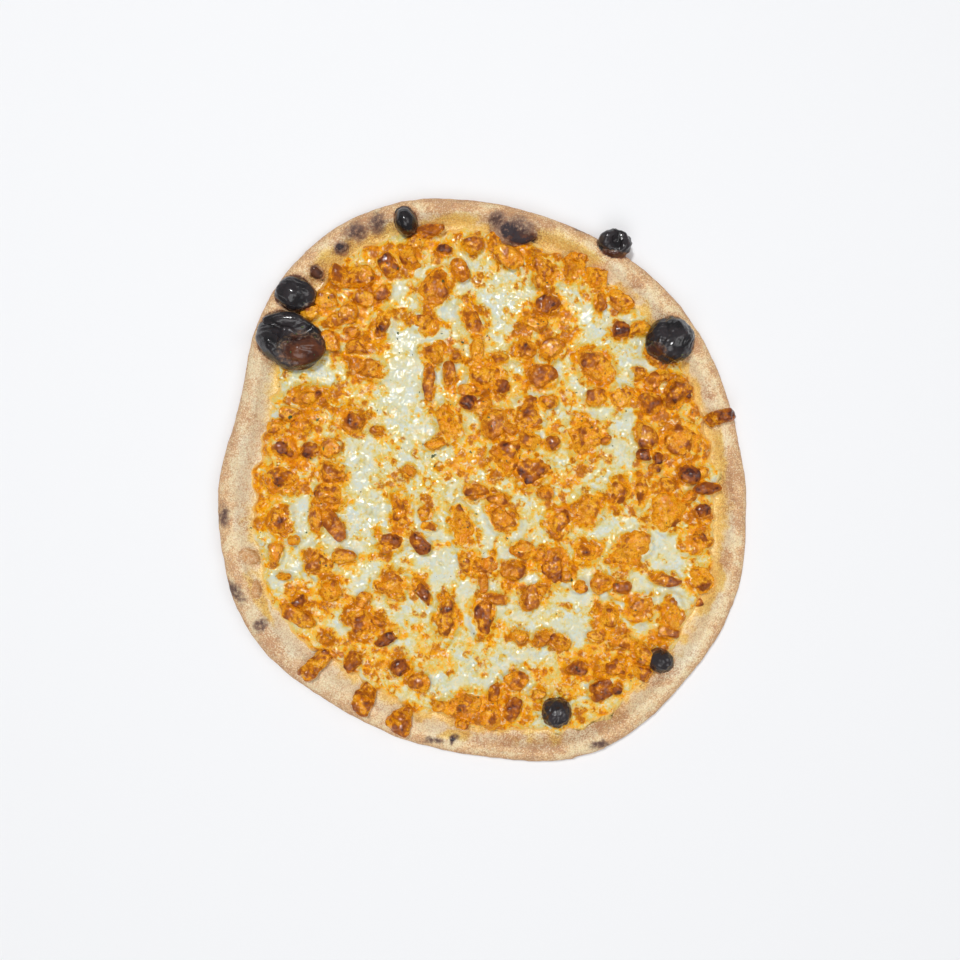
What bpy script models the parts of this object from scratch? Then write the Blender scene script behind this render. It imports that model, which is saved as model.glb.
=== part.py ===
# A whole thin-crust buffalo chicken pizza, about 15 inches across.
#
# Three kinds of piece, each its own solid:
#   crust       the baked dough: flat floor, puffed rim and the charred bubbles that rose from it
#   cheese      the melted layer of cheese and sauce in the hollow of the crust
#   chicken_NN  the larger pieces of chicken that lie on the cheese and on the rim
#
# Metres, +Z up. The origin is at the middle of the flat underside, and the pizza lies on z = 0.

import math

import bmesh
import bpy
from mathutils import Matrix, Vector, noise
from mathutils.bvhtree import BVHTree

MM = 0.001
NAME = "buffalo_chicken_pizza"

# Crust: a turned section, stretched to an uneven edge
EDGE_RADIUS = 188 * MM  # the edge where nothing swells
RIM_WIDTH = 23.5 * MM  # from the edge in to the foot of the rim
RIM_HEIGHT = 13.5 * MM  # the crest above the underside
EDGE_HEIGHT = 5.5 * MM  # the widest line of the edge
CREST_SHARE = 0.42  # of the rim's width, from the edge to the crest
UNDER_TUCK = 6 * MM  # how far the flat underside stays inside the edge
FLOOR_HEIGHT = 3.5 * MM  # dough under the cheese
RIM_TURNS = 92
INNER_STEPS = 5
OUTER_STEPS = 4
UNDER_STEPS = 3
RIM_LUMPS = 0.9 * MM  # unevenness of the rim
LUMP_SIZE = 26 * MM

# Each swell: (direction in degrees, amount, half width in degrees)
EDGE_SWELLS = (
    (17, -5 * MM, 22),
    (117, 19 * MM, 32),
    (163, -9.5 * MM, 14),
    (214, 9.5 * MM, 20),
    (252, 3 * MM, 14),
    (294, 20 * MM, 24),
    (330, 9 * MM, 18),
)
WIDTH_SWELLS = (
    (0, -2.5 * MM, 20),
    (45, 1.5 * MM, 15),
    (85, -2.5 * MM, 25),
    (185, 2 * MM, 20),
    (228, 4.5 * MM, 22),
    (275, -2.5 * MM, 20),
)
HEIGHT_SWELLS = (
    (10, -1 * MM, 20),
    (70, 0.8 * MM, 14),
    (112, 1.6 * MM, 20),
    (190, 0.8 * MM, 18),
    (225, -1.2 * MM, 14),
    (300, 1.8 * MM, 22),
    (345, 0.7 * MM, 12),
)

# Charred bubbles, and two scraps baked onto the rim, in mm and degrees:
# x, y, length, width, root and top above the underside, turn, facets round
BUBBLES = {
    "collapsed": (-133, 97, 50, 38, 1.2, 28, -24, 28),
    "wrinkled": (-130, 129, 29, 23, 1.2, 23, -18, 20),
    "smooth_north": (-53, 180, 15, 21, 1.2, 24, 16, 18),
    "low_burnt": (21, 176, 31, 21, 1.2, 17, -8, 18),
    "broken": (91, 164, 24, 20, 6, 22, -12, 20),
    "round_east": (129, 96, 35, 34, 1.2, 29, 20, 24),
    "dull_south_east": (123, -126, 19, 17, 1.2, 21, -10, 16),
    "smooth_south": (51, -162, 21, 21, 1.2, 23, 0, 18),
    "small_dark": (-99, 162, 10, 9, 3, 17, -20, 10),
    "small_brown": (-116, 145, 10, 8, 3, 14, -50, 10),
    "scrap_west": (-165, -54, 14, 9, 3, 12.5, -30, 10),
    "scrap_south_west": (-160, -78, 12, 6, 3, 12, 95, 10),
}
BUBBLE_BEND = 3.2  # roundness of the walls below the widest line: 2 is a ball, more is a barrel
BUBBLE_PUFF = 0.07  # unevenness of the walls, as a share of the size
PUFF_SCALE = 1.7  # waves of unevenness round a bubble
PUFF_SHIFT = 0.4  # keeps one bubble's unevenness unlike the next one's
EDGE_OVERHANG = 1.5  # how fast a bubble may lean out over the edge as it rises
EDGE_COVER = 1.5 * MM  # dough outside a bubble at the widest line of the edge
# Sunken places of a bubble: its name, (x, y), radius, depth
BUBBLE_DENTS = (
    ("collapsed", (-149, 109), 7, 5),
    ("collapsed", (-139, 104), 7, 9),
    ("collapsed", (-128, 103), 8, 10),
    ("collapsed", (-118, 104), 6, 7),
    ("collapsed", (-136, 88), 6, 3),
    ("low_burnt", (27, 173), 7, 2.5),
    ("broken", (92, 166), 5, 6.5),
    ("broken", (97, 170), 4, 2.5),
    ("round_east", (126, 104), 6, 3),
    ("wrinkled", (-126, 122), 6, 3),
)
# Peaks of a bubble: its name, (x, y), radius, height
BUBBLE_PEAKS = (
    ("broken", (85, 171), 5, 4),
    ("collapsed", (-128, 91), 8, 2.5),
    ("collapsed", (-150, 97), 9, 3),
)

# Cheese
CHEESE_GAP = 0.4 * MM  # clearance from the crust on the sides and below
CHEESE_HEIGHT = 7.2 * MM  # usual level above the underside
CHEESE_EDGE_HEIGHT = 5.8 * MM
CHEESE_EDGE_WIDTH = 7 * MM  # where the layer thins towards the rim
CHEESE_RINGS = 19
CHEESE_WAVES = 0.8 * MM
WAVE_SIZE = 38 * MM

# Smaller scraps of chicken, melted into the cheese, in mm: x, y, width, height
SCRAPS = (
    (-102, 144, 15, 3.5), (-86, 143, 16, 3.5), (-110, 128, 14, 3), (-107, 98, 14, 3.5),
    (-67, 152, 14, 3.5), (-16, 148, 13, 3.5), (-38, 69, 12, 3.5), (-24, 75, 11, 3.5),
    (-4, 92, 10, 3), (-7, 166, 13, 3), (46, 124, 14, 4), (83, 126, 11, 3),
    (97, 126, 14, 3), (97, 105, 12, 4.5), (122, 87, 13, 4), (117, 54, 14, 4),
    (80, 58, 12, 2.5), (114, 18, 10, 4), (145, 4, 13, 3.5), (155, -22, 10, 4),
    (33, 28, 14, 3), (-5, -8, 12, 3), (11, -13, 12, 3), (28, -49, 13, 3),
    (-13, -58, 11, 3), (-44, -44, 13, 3.5), (-135, 46, 12, 3.5), (-128, 37, 12, 3),
    (-146, 37, 11, 3), (-122, 21, 12, 3), (-107, 23, 12, 3), (-118, -28, 12, 3.5),
    (-146, -52, 12, 3), (-98, -54, 12, 2.5), (-107, -78, 13, 3), (-129, -85, 9, 4),
    (-92, -128, 13, 4), (10, -84, 10, 2.5), (21, -63, 14, 3.5), (42, -111, 12, 3),
    (54, -114, 12, 3), (-57, -132, 13, 4.5), (-68, -112, 11, 3.5), (8, -152, 12, 3),
    (22, -142, 14, 3.5), (21, -161, 12, 3.5), (128, -70, 13, 3), (98, -75, 11, 3.5),
    (84, -73, 13, 3), (131, -107, 12, 3), (98, -114, 13, 3), (112, -122, 14, 3),
    (66, -132, 12, 4), (113, -135, 12, 3), (-10, 55, 11, 3.5), (-45, -143, 13, 3),
    (35, 110, 14, 3), (50, 92, 14, 3), (8, 40, 15, 3.5), (-108, 6, 15, 3.5),
    (114, 32, 14, 4), (18, 157, 14, 3), (34, -83, 13, 3.5), (83, -148, 13, 3.5),
    (42, 73, 16, 4), (158, -6, 13, 4),
)
SCRAP_CLEARANCE = 1.6  # no scrap shows within this many half sizes of a larger piece
SCRAP_FADE = 0.5  # where it rises to its full height, in the same half sizes

# Larger pieces of chicken, in mm and degrees:
# x, y, length, width, height, turn, sides of the plan (4 boxy, 3 wedge)
CHICKEN = (
    (-89, 93, 24, 11, 8, 12, 4),
    (-82, 78, 21, 13, 8, -15, 4),
    (-71, 109, 19, 14, 8, 60, 4),
    (-51, 156, 20, 14, 8, 62, 4),
    (-32, 136, 29, 16, 9, 52, 4),
    (-40, 112, 23, 11, 7, -28, 4),
    (-9, 115, 27, 9, 6, -60, 4),
    (-36, 90, 16, 14, 9, 8, 4),
    (1, 74, 27, 14, 8, -18, 4),
    (44, 148, 23, 13, 8, -52, 4),
    (29, 92, 21, 12, 8, 62, 4),
    (64, 151, 19, 16, 6, 40, 4),
    (80, 143, 19, 13, 7, 75, 4),
    (79, 82, 24, 18, 8, -30, 4),
    (137, 60, 21, 16, 9, 70, 4),
    (99, 57, 20, 13, 7, -10, 4),
    (138, 30, 25, 21, 9, -20, 4),
    (73, 31, 24, 20, 8, 15, 3),
    (111, -6, 22, 11, 7, 95, 4),
    (97, -8, 23, 12, 7, 82, 4),
    (130, -23, 25, 22, 9, -30, 4),
    (152, -41, 20, 15, 8, 30, 4),
    (76, -20, 19, 15, 8, 60, 4),
    (54, -29, 20, 18, 8, 0, 4),
    (71, -50, 20, 12, 8, 18, 4),
    (103, -51, 30, 15, 9, 40, 4),
    (34, 5, 23, 17, 8, 0, 4),
    (16, 18, 25, 16, 9, 75, 4),
    (31, 47, 20, 18, 8, 30, 4),
    (-24, 41, 23, 13, 8, 110, 4),
    (15, -28, 21, 17, 8, -80, 3),
    (-13, -33, 28, 14, 9, 98, 4),
    (50, -60, 23, 15, 8, 80, 4),
    (1, -59, 20, 13, 7, 0, 4),
    (-58, -22, 23, 13, 7, 88, 4),
    (-67, -43, 20, 12, 7, 10, 4),
    (-124, 57, 27, 13, 9, 8, 4),
    (-93, 43, 20, 17, 9, 0, 4),
    (-142, 22, 17, 14, 8, 0, 4),
    (-141, 0, 21, 17, 9, 0, 4),
    (-109, -11, 17, 17, 8, 30, 4),
    (-144, -28, 22, 13, 8, 92, 4),
    (-117, -58, 20, 16, 8, -50, 4),
    (-87, -99, 23, 14, 8, -48, 4),
    (-65, -73, 18, 15, 8, -20, 4),
    (-26, -98, 31, 12, 9, 93, 4),
    (0, -97, 24, 11, 8, 82, 4),
    (88, -96, 21, 13, 8, 60, 4),
    (110, -90, 18, 14, 7, 20, 4),
    (134, -94, 21, 13, 8, 70, 4),
    (154, -71, 17, 13, 7, -60, 4),
    (90, -134, 19, 13, 7, 20, 4),
    (6, -168, 17, 13, 8, 40, 4),
    (-14, -158, 30, 13, 8, -3, 4),
    (166, 44, 20, 10, 7, 10, 4),
    (-118, -130, 26, 12, 8, 42, 4),
    (-83, -154, 21, 14, 8, 75, 4),
    (-57, -168, 18, 14, 8, 60, 3),
)
REST_GAP = 0.3 * MM  # clearance between a piece and what it lies on
DROP_STEP = 0.7 * MM  # spacing of the points that test a piece's rest
PLAN_POWER = 3.0  # squareness of a piece: 2 is an ellipse, more is a box
SIDE_LIFT = 0.3  # share of a piece's height below its widest line
PIECE_LUMPS = 0.16  # unevenness, as a share of the piece's size
LUMP_SCALE = 1.2  # waves of unevenness over a piece
PIECE_SHIFT = 3.7  # keeps one piece's unevenness unlike the next one's
WEDGE_TAPER = 0.62  # how much a wedge narrows from its broad end to its point
WEDGE_PIVOT = 0.25  # where along its half length a wedge keeps its width
CLEAR_OF_ALL = 0.1  # height above and depth below from which a place is looked up

# Colours as linear RGB, roughness
DOUGH = ((0.62, 0.43, 0.24), 0.75)
MELTED_CHEESE = ((0.80, 0.68, 0.36), 0.35)
SAUCED_CHICKEN = ((0.55, 0.22, 0.03), 0.30)


def clear_scene():
    for obj in list(bpy.data.objects):
        bpy.data.objects.remove(obj, do_unlink=True)


def new_collection(name):
    collection = bpy.data.collections.new(name)
    bpy.context.scene.collection.children.link(collection)
    return collection


def new_material(name, look):
    colour, roughness = look
    material = bpy.data.materials.new(name)
    material.use_nodes = True
    shader = material.node_tree.nodes["Principled BSDF"]
    shader.inputs["Base Color"].default_value = (*colour, 1)
    shader.inputs["Roughness"].default_value = roughness
    shader.inputs["Metallic"].default_value = 0
    return material


def add_object(name, mesh, collection):
    obj = bpy.data.objects.new(name, mesh)
    collection.objects.link(obj)
    return obj


def mesh_from(name, shape):
    """Ends a bmesh and gives its mesh."""
    mesh = bpy.data.meshes.new(name)
    shape.to_mesh(mesh)
    shape.free()
    return mesh


def evaluated_mesh(obj):
    """The object's mesh with its modifiers applied."""
    bpy.context.view_layer.update()
    graph = bpy.context.evaluated_depsgraph_get()
    return bpy.data.meshes.new_from_object(obj.evaluated_get(graph))


def finish_piece(obj, look):
    obj.data.materials.clear()
    obj.data.materials.append(new_material(obj.name, look))
    obj.data.shade_smooth()


def swell(angle, swells):
    """The sum of the swells in a direction given in radians."""
    total = 0.0
    for centre, amount, half_width in swells:
        turn = (math.degrees(angle) - centre + 180) % 360 - 180
        total += amount * math.exp(-((turn / half_width) ** 2))
    return total


def edge_radius(angle):
    return EDGE_RADIUS + swell(angle, EDGE_SWELLS)


def rim_width(angle):
    return RIM_WIDTH + swell(angle, WIDTH_SWELLS)


def foot_radius(angle):
    return edge_radius(angle) - rim_width(angle)


def quarter_turns(steps):
    return [math.pi / 2 * step / steps for step in range(1, steps + 1)]


def crust_section():
    """Half a section of the crust: the floor, the rim's inner slope, its round edge and the underside."""
    foot = EDGE_RADIUS - RIM_WIDTH
    crest = EDGE_RADIUS - RIM_WIDTH * CREST_SHARE
    section = [(0.0, FLOOR_HEIGHT)]
    for step in range(INNER_STEPS + 1):
        share = step / INNER_STEPS
        rise = (1 - math.cos(math.pi * share)) / 2
        height = FLOOR_HEIGHT + (RIM_HEIGHT - FLOOR_HEIGHT) * rise
        section.append((foot + (crest - foot) * share, height))
    for turn in quarter_turns(OUTER_STEPS):
        height = EDGE_HEIGHT + (RIM_HEIGHT - EDGE_HEIGHT) * math.cos(turn)
        section.append((crest + (EDGE_RADIUS - crest) * math.sin(turn), height))
    for turn in quarter_turns(UNDER_STEPS):
        radius = EDGE_RADIUS - UNDER_TUCK * (1 - math.cos(turn))
        section.append((radius, EDGE_HEIGHT * (1 - math.sin(turn))))
    section.append((0.0, 0.0))
    return section


def turned_crust(collection):
    """The section as edges, with a Screw modifier."""
    shape = bmesh.new()
    corners = [shape.verts.new((radius, 0, height)) for radius, height in crust_section()]
    for first, second in zip(corners, corners[1:]):
        shape.edges.new((first, second))
    crust = add_object("crust", mesh_from("crust", shape), collection)
    screw = crust.modifiers.new("turn", "SCREW")
    screw.steps = RIM_TURNS
    screw.render_steps = RIM_TURNS
    screw.use_merge_vertices = True
    screw.merge_threshold = 0.00005
    return crust


def stretched(point):
    """Moves a point of the turned crust to the uneven edge, width and height of the real one."""
    angle = math.atan2(point.y, point.x)
    radius = math.hypot(point.x, point.y)
    foot = EDGE_RADIUS - RIM_WIDTH
    if radius > foot:
        new_radius = edge_radius(angle) - (EDGE_RADIUS - radius) * rim_width(angle) / RIM_WIDTH
    else:
        new_radius = radius * foot_radius(angle) / foot
    height = point.z
    above = (height - FLOOR_HEIGHT) / (RIM_HEIGHT - FLOOR_HEIGHT)
    if above > 0:
        lump = RIM_LUMPS * noise.noise(point / LUMP_SIZE)
        height += above * (swell(angle, HEIGHT_SWELLS) + lump)
        new_radius += above * RIM_LUMPS * noise.noise(point / LUMP_SIZE + Vector((5, 0, 0)))
    return Vector((math.cos(angle) * new_radius, math.sin(angle) * new_radius, height))


def hollow_or_peak(name, x, y):
    """How much the top of a bubble sinks or rises at a place."""
    change = 0.0
    for bubble, (dent_x, dent_y), radius, depth in BUBBLE_DENTS:
        if bubble == name:
            change -= depth * math.exp(-((x - dent_x) ** 2 + (y - dent_y) ** 2) / radius**2)
    for bubble, (peak_x, peak_y), radius, rise in BUBBLE_PEAKS:
        if bubble == name:
            change += rise * math.exp(-((x - peak_x) ** 2 + (y - peak_y) ** 2) / radius**2)
    return change * MM


def bubble_shape(name, growth=0.0):
    """One blown bubble of dough, from its root in the floor to its top, grown outwards by growth."""
    x, y, length, width, root, top, turn, facets = BUBBLES[name]
    shape = bmesh.new()
    bmesh.ops.create_uvsphere(shape, u_segments=facets, v_segments=max(6, facets // 2), radius=1)
    middle = Vector((x, y, 0)) * MM
    half_height = (top - root) / 2 * MM
    spin = Matrix.Rotation(math.radians(turn), 3, "Z")
    for corner in shape.verts:
        way = corner.co.copy()
        if way.z < 0:
            across = math.hypot(way.x, way.y)
            barrel = max(0.0, 1 - abs(way.z) ** BUBBLE_BEND) ** (1 / BUBBLE_BEND)
            if across > 1e-6:
                way.x *= barrel / across
                way.y *= barrel / across
        puff = 1 + BUBBLE_PUFF * noise.noise(corner.co * PUFF_SCALE + Vector((x, y, 0)) * PUFF_SHIFT)
        plan = spin @ Vector((way.x * length / 2 * MM * puff, way.y * width / 2 * MM * puff, 0))
        place = middle + plan
        place.z = root * MM + half_height * (1 + way.z)
        place += lean_in(middle, width / 2 * MM, place.z)
        place.z += max(0.0, way.z) * hollow_or_peak(name, place.x / MM, place.y / MM)
        corner.co = place
    if growth:
        shape.normal_update()
        for corner in shape.verts:
            corner.co += corner.normal * growth
    return mesh_from(name, shape)


def lean_in(middle, half_width, height):
    """The step towards the middle of the pizza that keeps a bubble's low part in under the rim."""
    angle = math.atan2(middle.y, middle.x)
    reach = edge_radius(angle) - EDGE_COVER + EDGE_OVERHANG * (height - EDGE_HEIGHT)
    return -middle.normalized() * max(0.0, middle.length + half_width - reach)


def add_boolean(obj, operation, collection, solver):
    boolean = obj.modifiers.new(operation.lower(), "BOOLEAN")
    boolean.operation = operation
    boolean.operand_type = "COLLECTION"
    boolean.collection = collection
    boolean.solver = solver


def remove_collection(collection):
    for obj in list(collection.objects):
        bpy.data.objects.remove(obj, do_unlink=True)
    bpy.data.collections.remove(collection)


def make_crust(collection):
    """The stretched crust with its bubbles fused on."""
    crust = turned_crust(collection)
    turned = evaluated_mesh(crust)
    for corner in turned.vertices:
        corner.co = stretched(corner.co)
    crust.modifiers.clear()
    crust.data = turned
    bubbles = new_collection("bubbles")
    for name in BUBBLES:
        add_object("bubble_" + name, bubble_shape(name), bubbles)
    add_boolean(crust, "UNION", bubbles, "MANIFOLD")
    joined = evaluated_mesh(crust)
    crust.modifiers.clear()
    crust.data = joined
    remove_collection(bubbles)
    finish_piece(crust, DOUGH)
    return crust


def piece_frame(piece):
    """A piece's middle and its turn."""
    x, y, turn = piece[0], piece[1], piece[5]
    return Vector((x, y, 0)) * MM, Matrix.Rotation(math.radians(turn), 3, "Z")


def nearness_to_pieces(place):
    """1 under a piece of chicken, falling to 0 a little way outside its plan."""
    nearest = 0.0
    for piece in CHICKEN:
        middle, spin = piece_frame(piece)
        local = spin.transposed() @ (place - middle)
        along = local.x / (piece[2] / 2 * MM)
        across = local.y / (piece[3] / 2 * MM)
        outside = math.hypot(along, across)
        nearest = max(nearest, min(1.0, max(0.0, (SCRAP_CLEARANCE - outside) / SCRAP_FADE)))
    return nearest


def cheese_level(place):
    """Height of the top of the melted layer at a place on the plan."""
    angle = math.atan2(place.y, place.x)
    inset = foot_radius(angle) - math.hypot(place.x, place.y)
    wave = CHEESE_WAVES * noise.noise(place / WAVE_SIZE + Vector((0, 0, 3)))
    level = CHEESE_HEIGHT + wave
    scraps = 0.0
    for x, y, width, height in SCRAPS:
        away = (place.x / MM - x) ** 2 + (place.y / MM - y) ** 2
        scraps = max(scraps, height * MM * math.exp(-away / (width / 2) ** 2))
    level += scraps * (1 - nearness_to_pieces(place))
    at_edge = max(0.0, 1 - inset / CHEESE_EDGE_WIDTH)
    return level + (CHEESE_EDGE_HEIGHT - level) * at_edge


def make_cheese(collection, cutters):
    """A six-sided fan of triangles drawn out to the foot of the rim, closed below, cut round the bubbles."""
    shape = bmesh.new()
    corner_on_x = Matrix.Rotation(math.radians(30), 4, "Z")
    bmesh.ops.create_circle(
        shape, segments=6, radius=1, cap_ends=True, cap_tris=True, matrix=corner_on_x
    )
    bmesh.ops.subdivide_edges(shape, edges=shape.edges, cuts=CHEESE_RINGS - 1, use_grid_fill=True)
    for corner in shape.verts:
        angle = math.atan2(corner.co.y, corner.co.x)
        sector = (angle % (math.pi / 3)) - math.pi / 6
        ring = math.hypot(corner.co.x, corner.co.y) * math.cos(sector) / math.cos(math.pi / 6)
        side_share = (math.tan(sector) / math.tan(math.pi / 6) + 1) / 2
        angle += (side_share - 0.5) * math.pi / 3 - sector
        radius = ring * (foot_radius(angle) - CHEESE_GAP)
        place = Vector((math.cos(angle) * radius, math.sin(angle) * radius, 0))
        place.z = cheese_level(place)
        corner.co = place
    rim = [edge for edge in shape.edges if edge.is_boundary]
    walls = bmesh.ops.extrude_edge_only(shape, edges=rim)["geom"]
    for corner in walls:
        if isinstance(corner, bmesh.types.BMVert):
            corner.co.z = FLOOR_HEIGHT + CHEESE_GAP
    bmesh.ops.holes_fill(shape, edges=[edge for edge in shape.edges if edge.is_boundary], sides=0)
    bmesh.ops.recalc_face_normals(shape, faces=shape.faces)
    cheese = add_object("cheese", mesh_from("cheese", shape), collection)
    for name in BUBBLES:
        cutter = add_object("round_" + name, bubble_shape(name, CHEESE_GAP), cutters)
        cutter.hide_render = True
        cutter.display_type = "WIRE"
    add_boolean(cheese, "DIFFERENCE", cutters, "EXACT")
    finish_piece(cheese, MELTED_CHEESE)
    return cheese


def surface_of(*objects):
    """The surfaces of finished pieces, to drop other pieces on."""
    surfaces = []
    for obj in objects:
        mesh = evaluated_mesh(obj)
        shape = bmesh.new()
        shape.from_mesh(mesh)
        surfaces.append(BVHTree.FromBMesh(shape))
        shape.free()
        bpy.data.meshes.remove(mesh)
    return surfaces


def height_at(surfaces, x, y):
    """The highest surface over a place."""
    highest = 0.0
    for surface in surfaces:
        hit = surface.ray_cast(Vector((x, y, CLEAR_OF_ALL)), Vector((0, 0, -1)))[0]
        if hit:
            highest = max(highest, hit.z)
    return highest


def chicken_shape(number, piece):
    """An uneven dice of chicken on its own, its underside at z = 0."""
    length, width, height, sides = piece[2], piece[3], piece[4], piece[6]
    shape = bmesh.new()
    bmesh.ops.create_icosphere(shape, subdivisions=2, radius=1)
    middle, spin = piece_frame(piece)
    for corner in shape.verts:
        way = corner.co.copy()
        power = sum(abs(part) ** PLAN_POWER for part in way) ** (1 / PLAN_POWER)
        lump = 1 + PIECE_LUMPS * noise.noise(way * LUMP_SCALE + Vector((number * PIECE_SHIFT, 0, 0)))
        way *= lump / power
        if sides == 3:
            way.y *= 1 + WEDGE_TAPER * (WEDGE_PIVOT - way.x)
        plan = Vector((way.x * length / 2, way.y * width / 2, 0)) * MM
        place = middle + spin @ plan
        place.z = max(0.0, (SIDE_LIFT + (1 - SIDE_LIFT) * way.z) * height * MM)
        corner.co = place
    return shape


def dropped(shape, surfaces):
    """Lays a piece along the surface below it and lowers it until it is a gap away."""
    for corner in shape.verts:
        corner.co.z += height_at(surfaces, corner.co.x, corner.co.y)
    underside = BVHTree.FromBMesh(shape)
    low = Vector(min(corner.co[axis] for corner in shape.verts) for axis in range(2))
    high = Vector(max(corner.co[axis] for corner in shape.verts) for axis in range(2))
    lowest = math.inf
    for column in range(int((high.x - low.x) / DROP_STEP) + 1):
        for row in range(int((high.y - low.y) / DROP_STEP) + 1):
            x = low.x + column * DROP_STEP
            y = low.y + row * DROP_STEP
            hit = underside.ray_cast(Vector((x, y, -CLEAR_OF_ALL)), Vector((0, 0, 1)))[0]
            if hit:
                lowest = min(lowest, hit.z - height_at(surfaces, x, y))
    for corner in shape.verts:
        corner.co.z += REST_GAP - lowest


def make_chicken(collection, surfaces):
    for number, piece in enumerate(CHICKEN, start=1):
        name = f"chicken_{number:02d}"
        shape = chicken_shape(number, piece)
        dropped(shape, surfaces)
        finish_piece(add_object(name, mesh_from(name, shape), collection), SAUCED_CHICKEN)


def main():
    clear_scene()
    collection = new_collection(NAME)
    cutters = new_collection("cutters")
    crust = make_crust(collection)
    cheese = make_cheese(collection, cutters)
    make_chicken(collection, surface_of(crust, cheese))


main()
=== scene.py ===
# Buffalo chicken pizza: its looks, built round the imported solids.
# Lengths in the dictionaries are in mm and turns in degrees, anticlockwise. Places are on the plan,
# with +y towards the top of the photograph.

import math

import bmesh
import bpy
import numpy as np
from mathutils import Matrix, Vector
from mathutils.bvhtree import BVHTree


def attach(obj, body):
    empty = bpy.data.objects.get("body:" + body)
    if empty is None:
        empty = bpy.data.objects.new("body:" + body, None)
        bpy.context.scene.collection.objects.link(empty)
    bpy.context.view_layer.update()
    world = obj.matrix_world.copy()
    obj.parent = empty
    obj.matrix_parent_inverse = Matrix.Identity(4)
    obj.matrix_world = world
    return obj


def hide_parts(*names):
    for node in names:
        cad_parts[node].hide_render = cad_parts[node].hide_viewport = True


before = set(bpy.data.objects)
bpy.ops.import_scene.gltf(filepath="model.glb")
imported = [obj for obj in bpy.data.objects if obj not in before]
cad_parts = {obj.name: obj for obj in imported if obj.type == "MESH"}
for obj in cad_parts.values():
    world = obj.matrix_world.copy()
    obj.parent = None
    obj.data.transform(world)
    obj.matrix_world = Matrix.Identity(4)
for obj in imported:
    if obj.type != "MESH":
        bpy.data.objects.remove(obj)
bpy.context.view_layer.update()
mm = 0.001
print("stage: frame loaded,", len(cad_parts), "nodes")

cameraLook = {
    "height": 608,
    "middle": (-2.1, 0),
    "lens": 31.8,
    "sensor": 36,
    "measuredAt": 8,  # the level that places on the plan were measured at
}


# Random waves and spots over points in mm

waveOffset = 53.7  # keeps the middle of the part off the corners of the cells


def hashed(cells, seed):
    # three random values from -1 to 1 for each cell
    keys = cells[:, 0] * 73856093 ^ cells[:, 1] * 19349663 ^ cells[:, 2] * 83492791 ^ (seed + 11) * 2654435761
    keys = (keys ^ (keys >> 13)) * 1274126177
    keys = (keys ^ (keys >> 16)) & 0x3FFFFFFF
    return np.stack([(keys >> shift & 1023) / 511.5 - 1 for shift in (0, 10, 20)], axis=1)


def waves(points, size, seed=0):
    spots = np.asarray(points, float) / size + waveOffset
    cells = np.floor(spots).astype(np.int64)
    inside = spots - cells
    ease = inside**3 * (inside * (inside * 6 - 15) + 10)
    total = np.zeros(len(spots))
    for corner in np.ndindex(2, 2, 2):
        step = np.array(corner)
        weight = np.prod(np.where(step, ease, 1 - ease), axis=1)
        total += weight * np.sum(hashed(cells + step, seed) * (inside - step), axis=1)
    return np.clip(total * 1.9, -1, 1)


def roughWaves(points, size, seed=0, layers=3):
    return sum(waves(points, size / 2**layer, seed + layer) / 2**layer for layer in range(layers))


def scattered(points, size, seed=0, flat=True):
    # for each point: how far the nearest random centre is, in mm, and two random values of that centre
    spots = np.asarray(points, float) / size + waveOffset
    if flat:
        spots[:, 2] = 0.5
    cells = np.floor(spots).astype(np.int64)
    nearest = np.full(len(spots), 9.0)
    values = np.zeros((len(spots), 3))
    for step in np.ndindex(3, 3, 1 if flat else 3):
        cell = cells + np.array(step) - np.array((1, 1, 0 if flat else 1))
        middle = cell + 0.5 + 0.42 * hashed(cell, seed)
        if flat:
            middle[:, 2] = 0.5
        away = np.linalg.norm(spots - middle, axis=1)
        closer = away < nearest
        nearest[closer] = away[closer]
        values[closer] = hashed(cell[closer], seed + 7) / 2 + 0.5
    return nearest * size, values[:, 0], values[:, 1]


def smooth(values, low, high):
    share = np.clip((values - low) / (high - low), 0, 1)
    return share * share * (3 - 2 * share)


# Places on the plan

def polar(points):
    return np.arctan2(points[:, 1], points[:, 0]), np.hypot(points[:, 0], points[:, 1])


def turned(turn):
    # the directions along and aside of a form that is turned by so many degrees
    angle = math.radians(turn)
    return np.array(((math.cos(angle), math.sin(angle)), (-math.sin(angle), math.cos(angle))))


def seenFromAbove(points):
    # where the camera sees each point, on the level that places were measured at
    height = cameraLook["height"]
    scale = (height - cameraLook["measuredAt"]) / (height - points[:, 2])
    middle = np.array(cameraLook["middle"])
    return middle + (points[:, :2] - middle) * scale[:, None]


def ovalShare(plan, x, y, length, width, turn):
    # how far out each place is in an oval, 1 on its edge
    along, aside = turned(turn) @ (plan - np.array((x, y))).T
    return np.hypot(along / (length / 2), aside / (width / 2))


def patch(plan, x, y, length, width, turn=0, blur=0.35):
    # 1 inside an oval, 0.5 on its edge, 0 outside
    return 1 - smooth(ovalShare(plan, x, y, length, width, turn), 1 - blur, 1 + blur)


def patches(plan, rows, blur):
    return np.max([patch(plan, *row, blur=blur) for row in rows], axis=0)


# Meshes to and from points in mm

def pointsOf(mesh):
    flat = np.empty(len(mesh.vertices) * 3, np.float32)
    mesh.vertices.foreach_get("co", flat)
    return flat.reshape(-1, 3).astype(float) / mm


def setPoints(mesh, points):
    mesh.vertices.foreach_set("co", (points * mm).astype(np.float32).ravel())
    mesh.update()


def normalsOf(mesh):
    flat = np.empty(len(mesh.vertices) * 3, np.float32)
    mesh.vertex_normals.foreach_get("vector", flat)
    return flat.reshape(-1, 3).astype(float)


def paint(mesh, name, values):
    layer = mesh.attributes.new(name, "FLOAT", "POINT")
    layer.data.foreach_set("value", np.asarray(values, np.float32))


def toMesh(name, shape):
    mesh = bpy.data.meshes.new(name)
    shape.to_mesh(mesh)
    shape.free()
    return mesh


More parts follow.
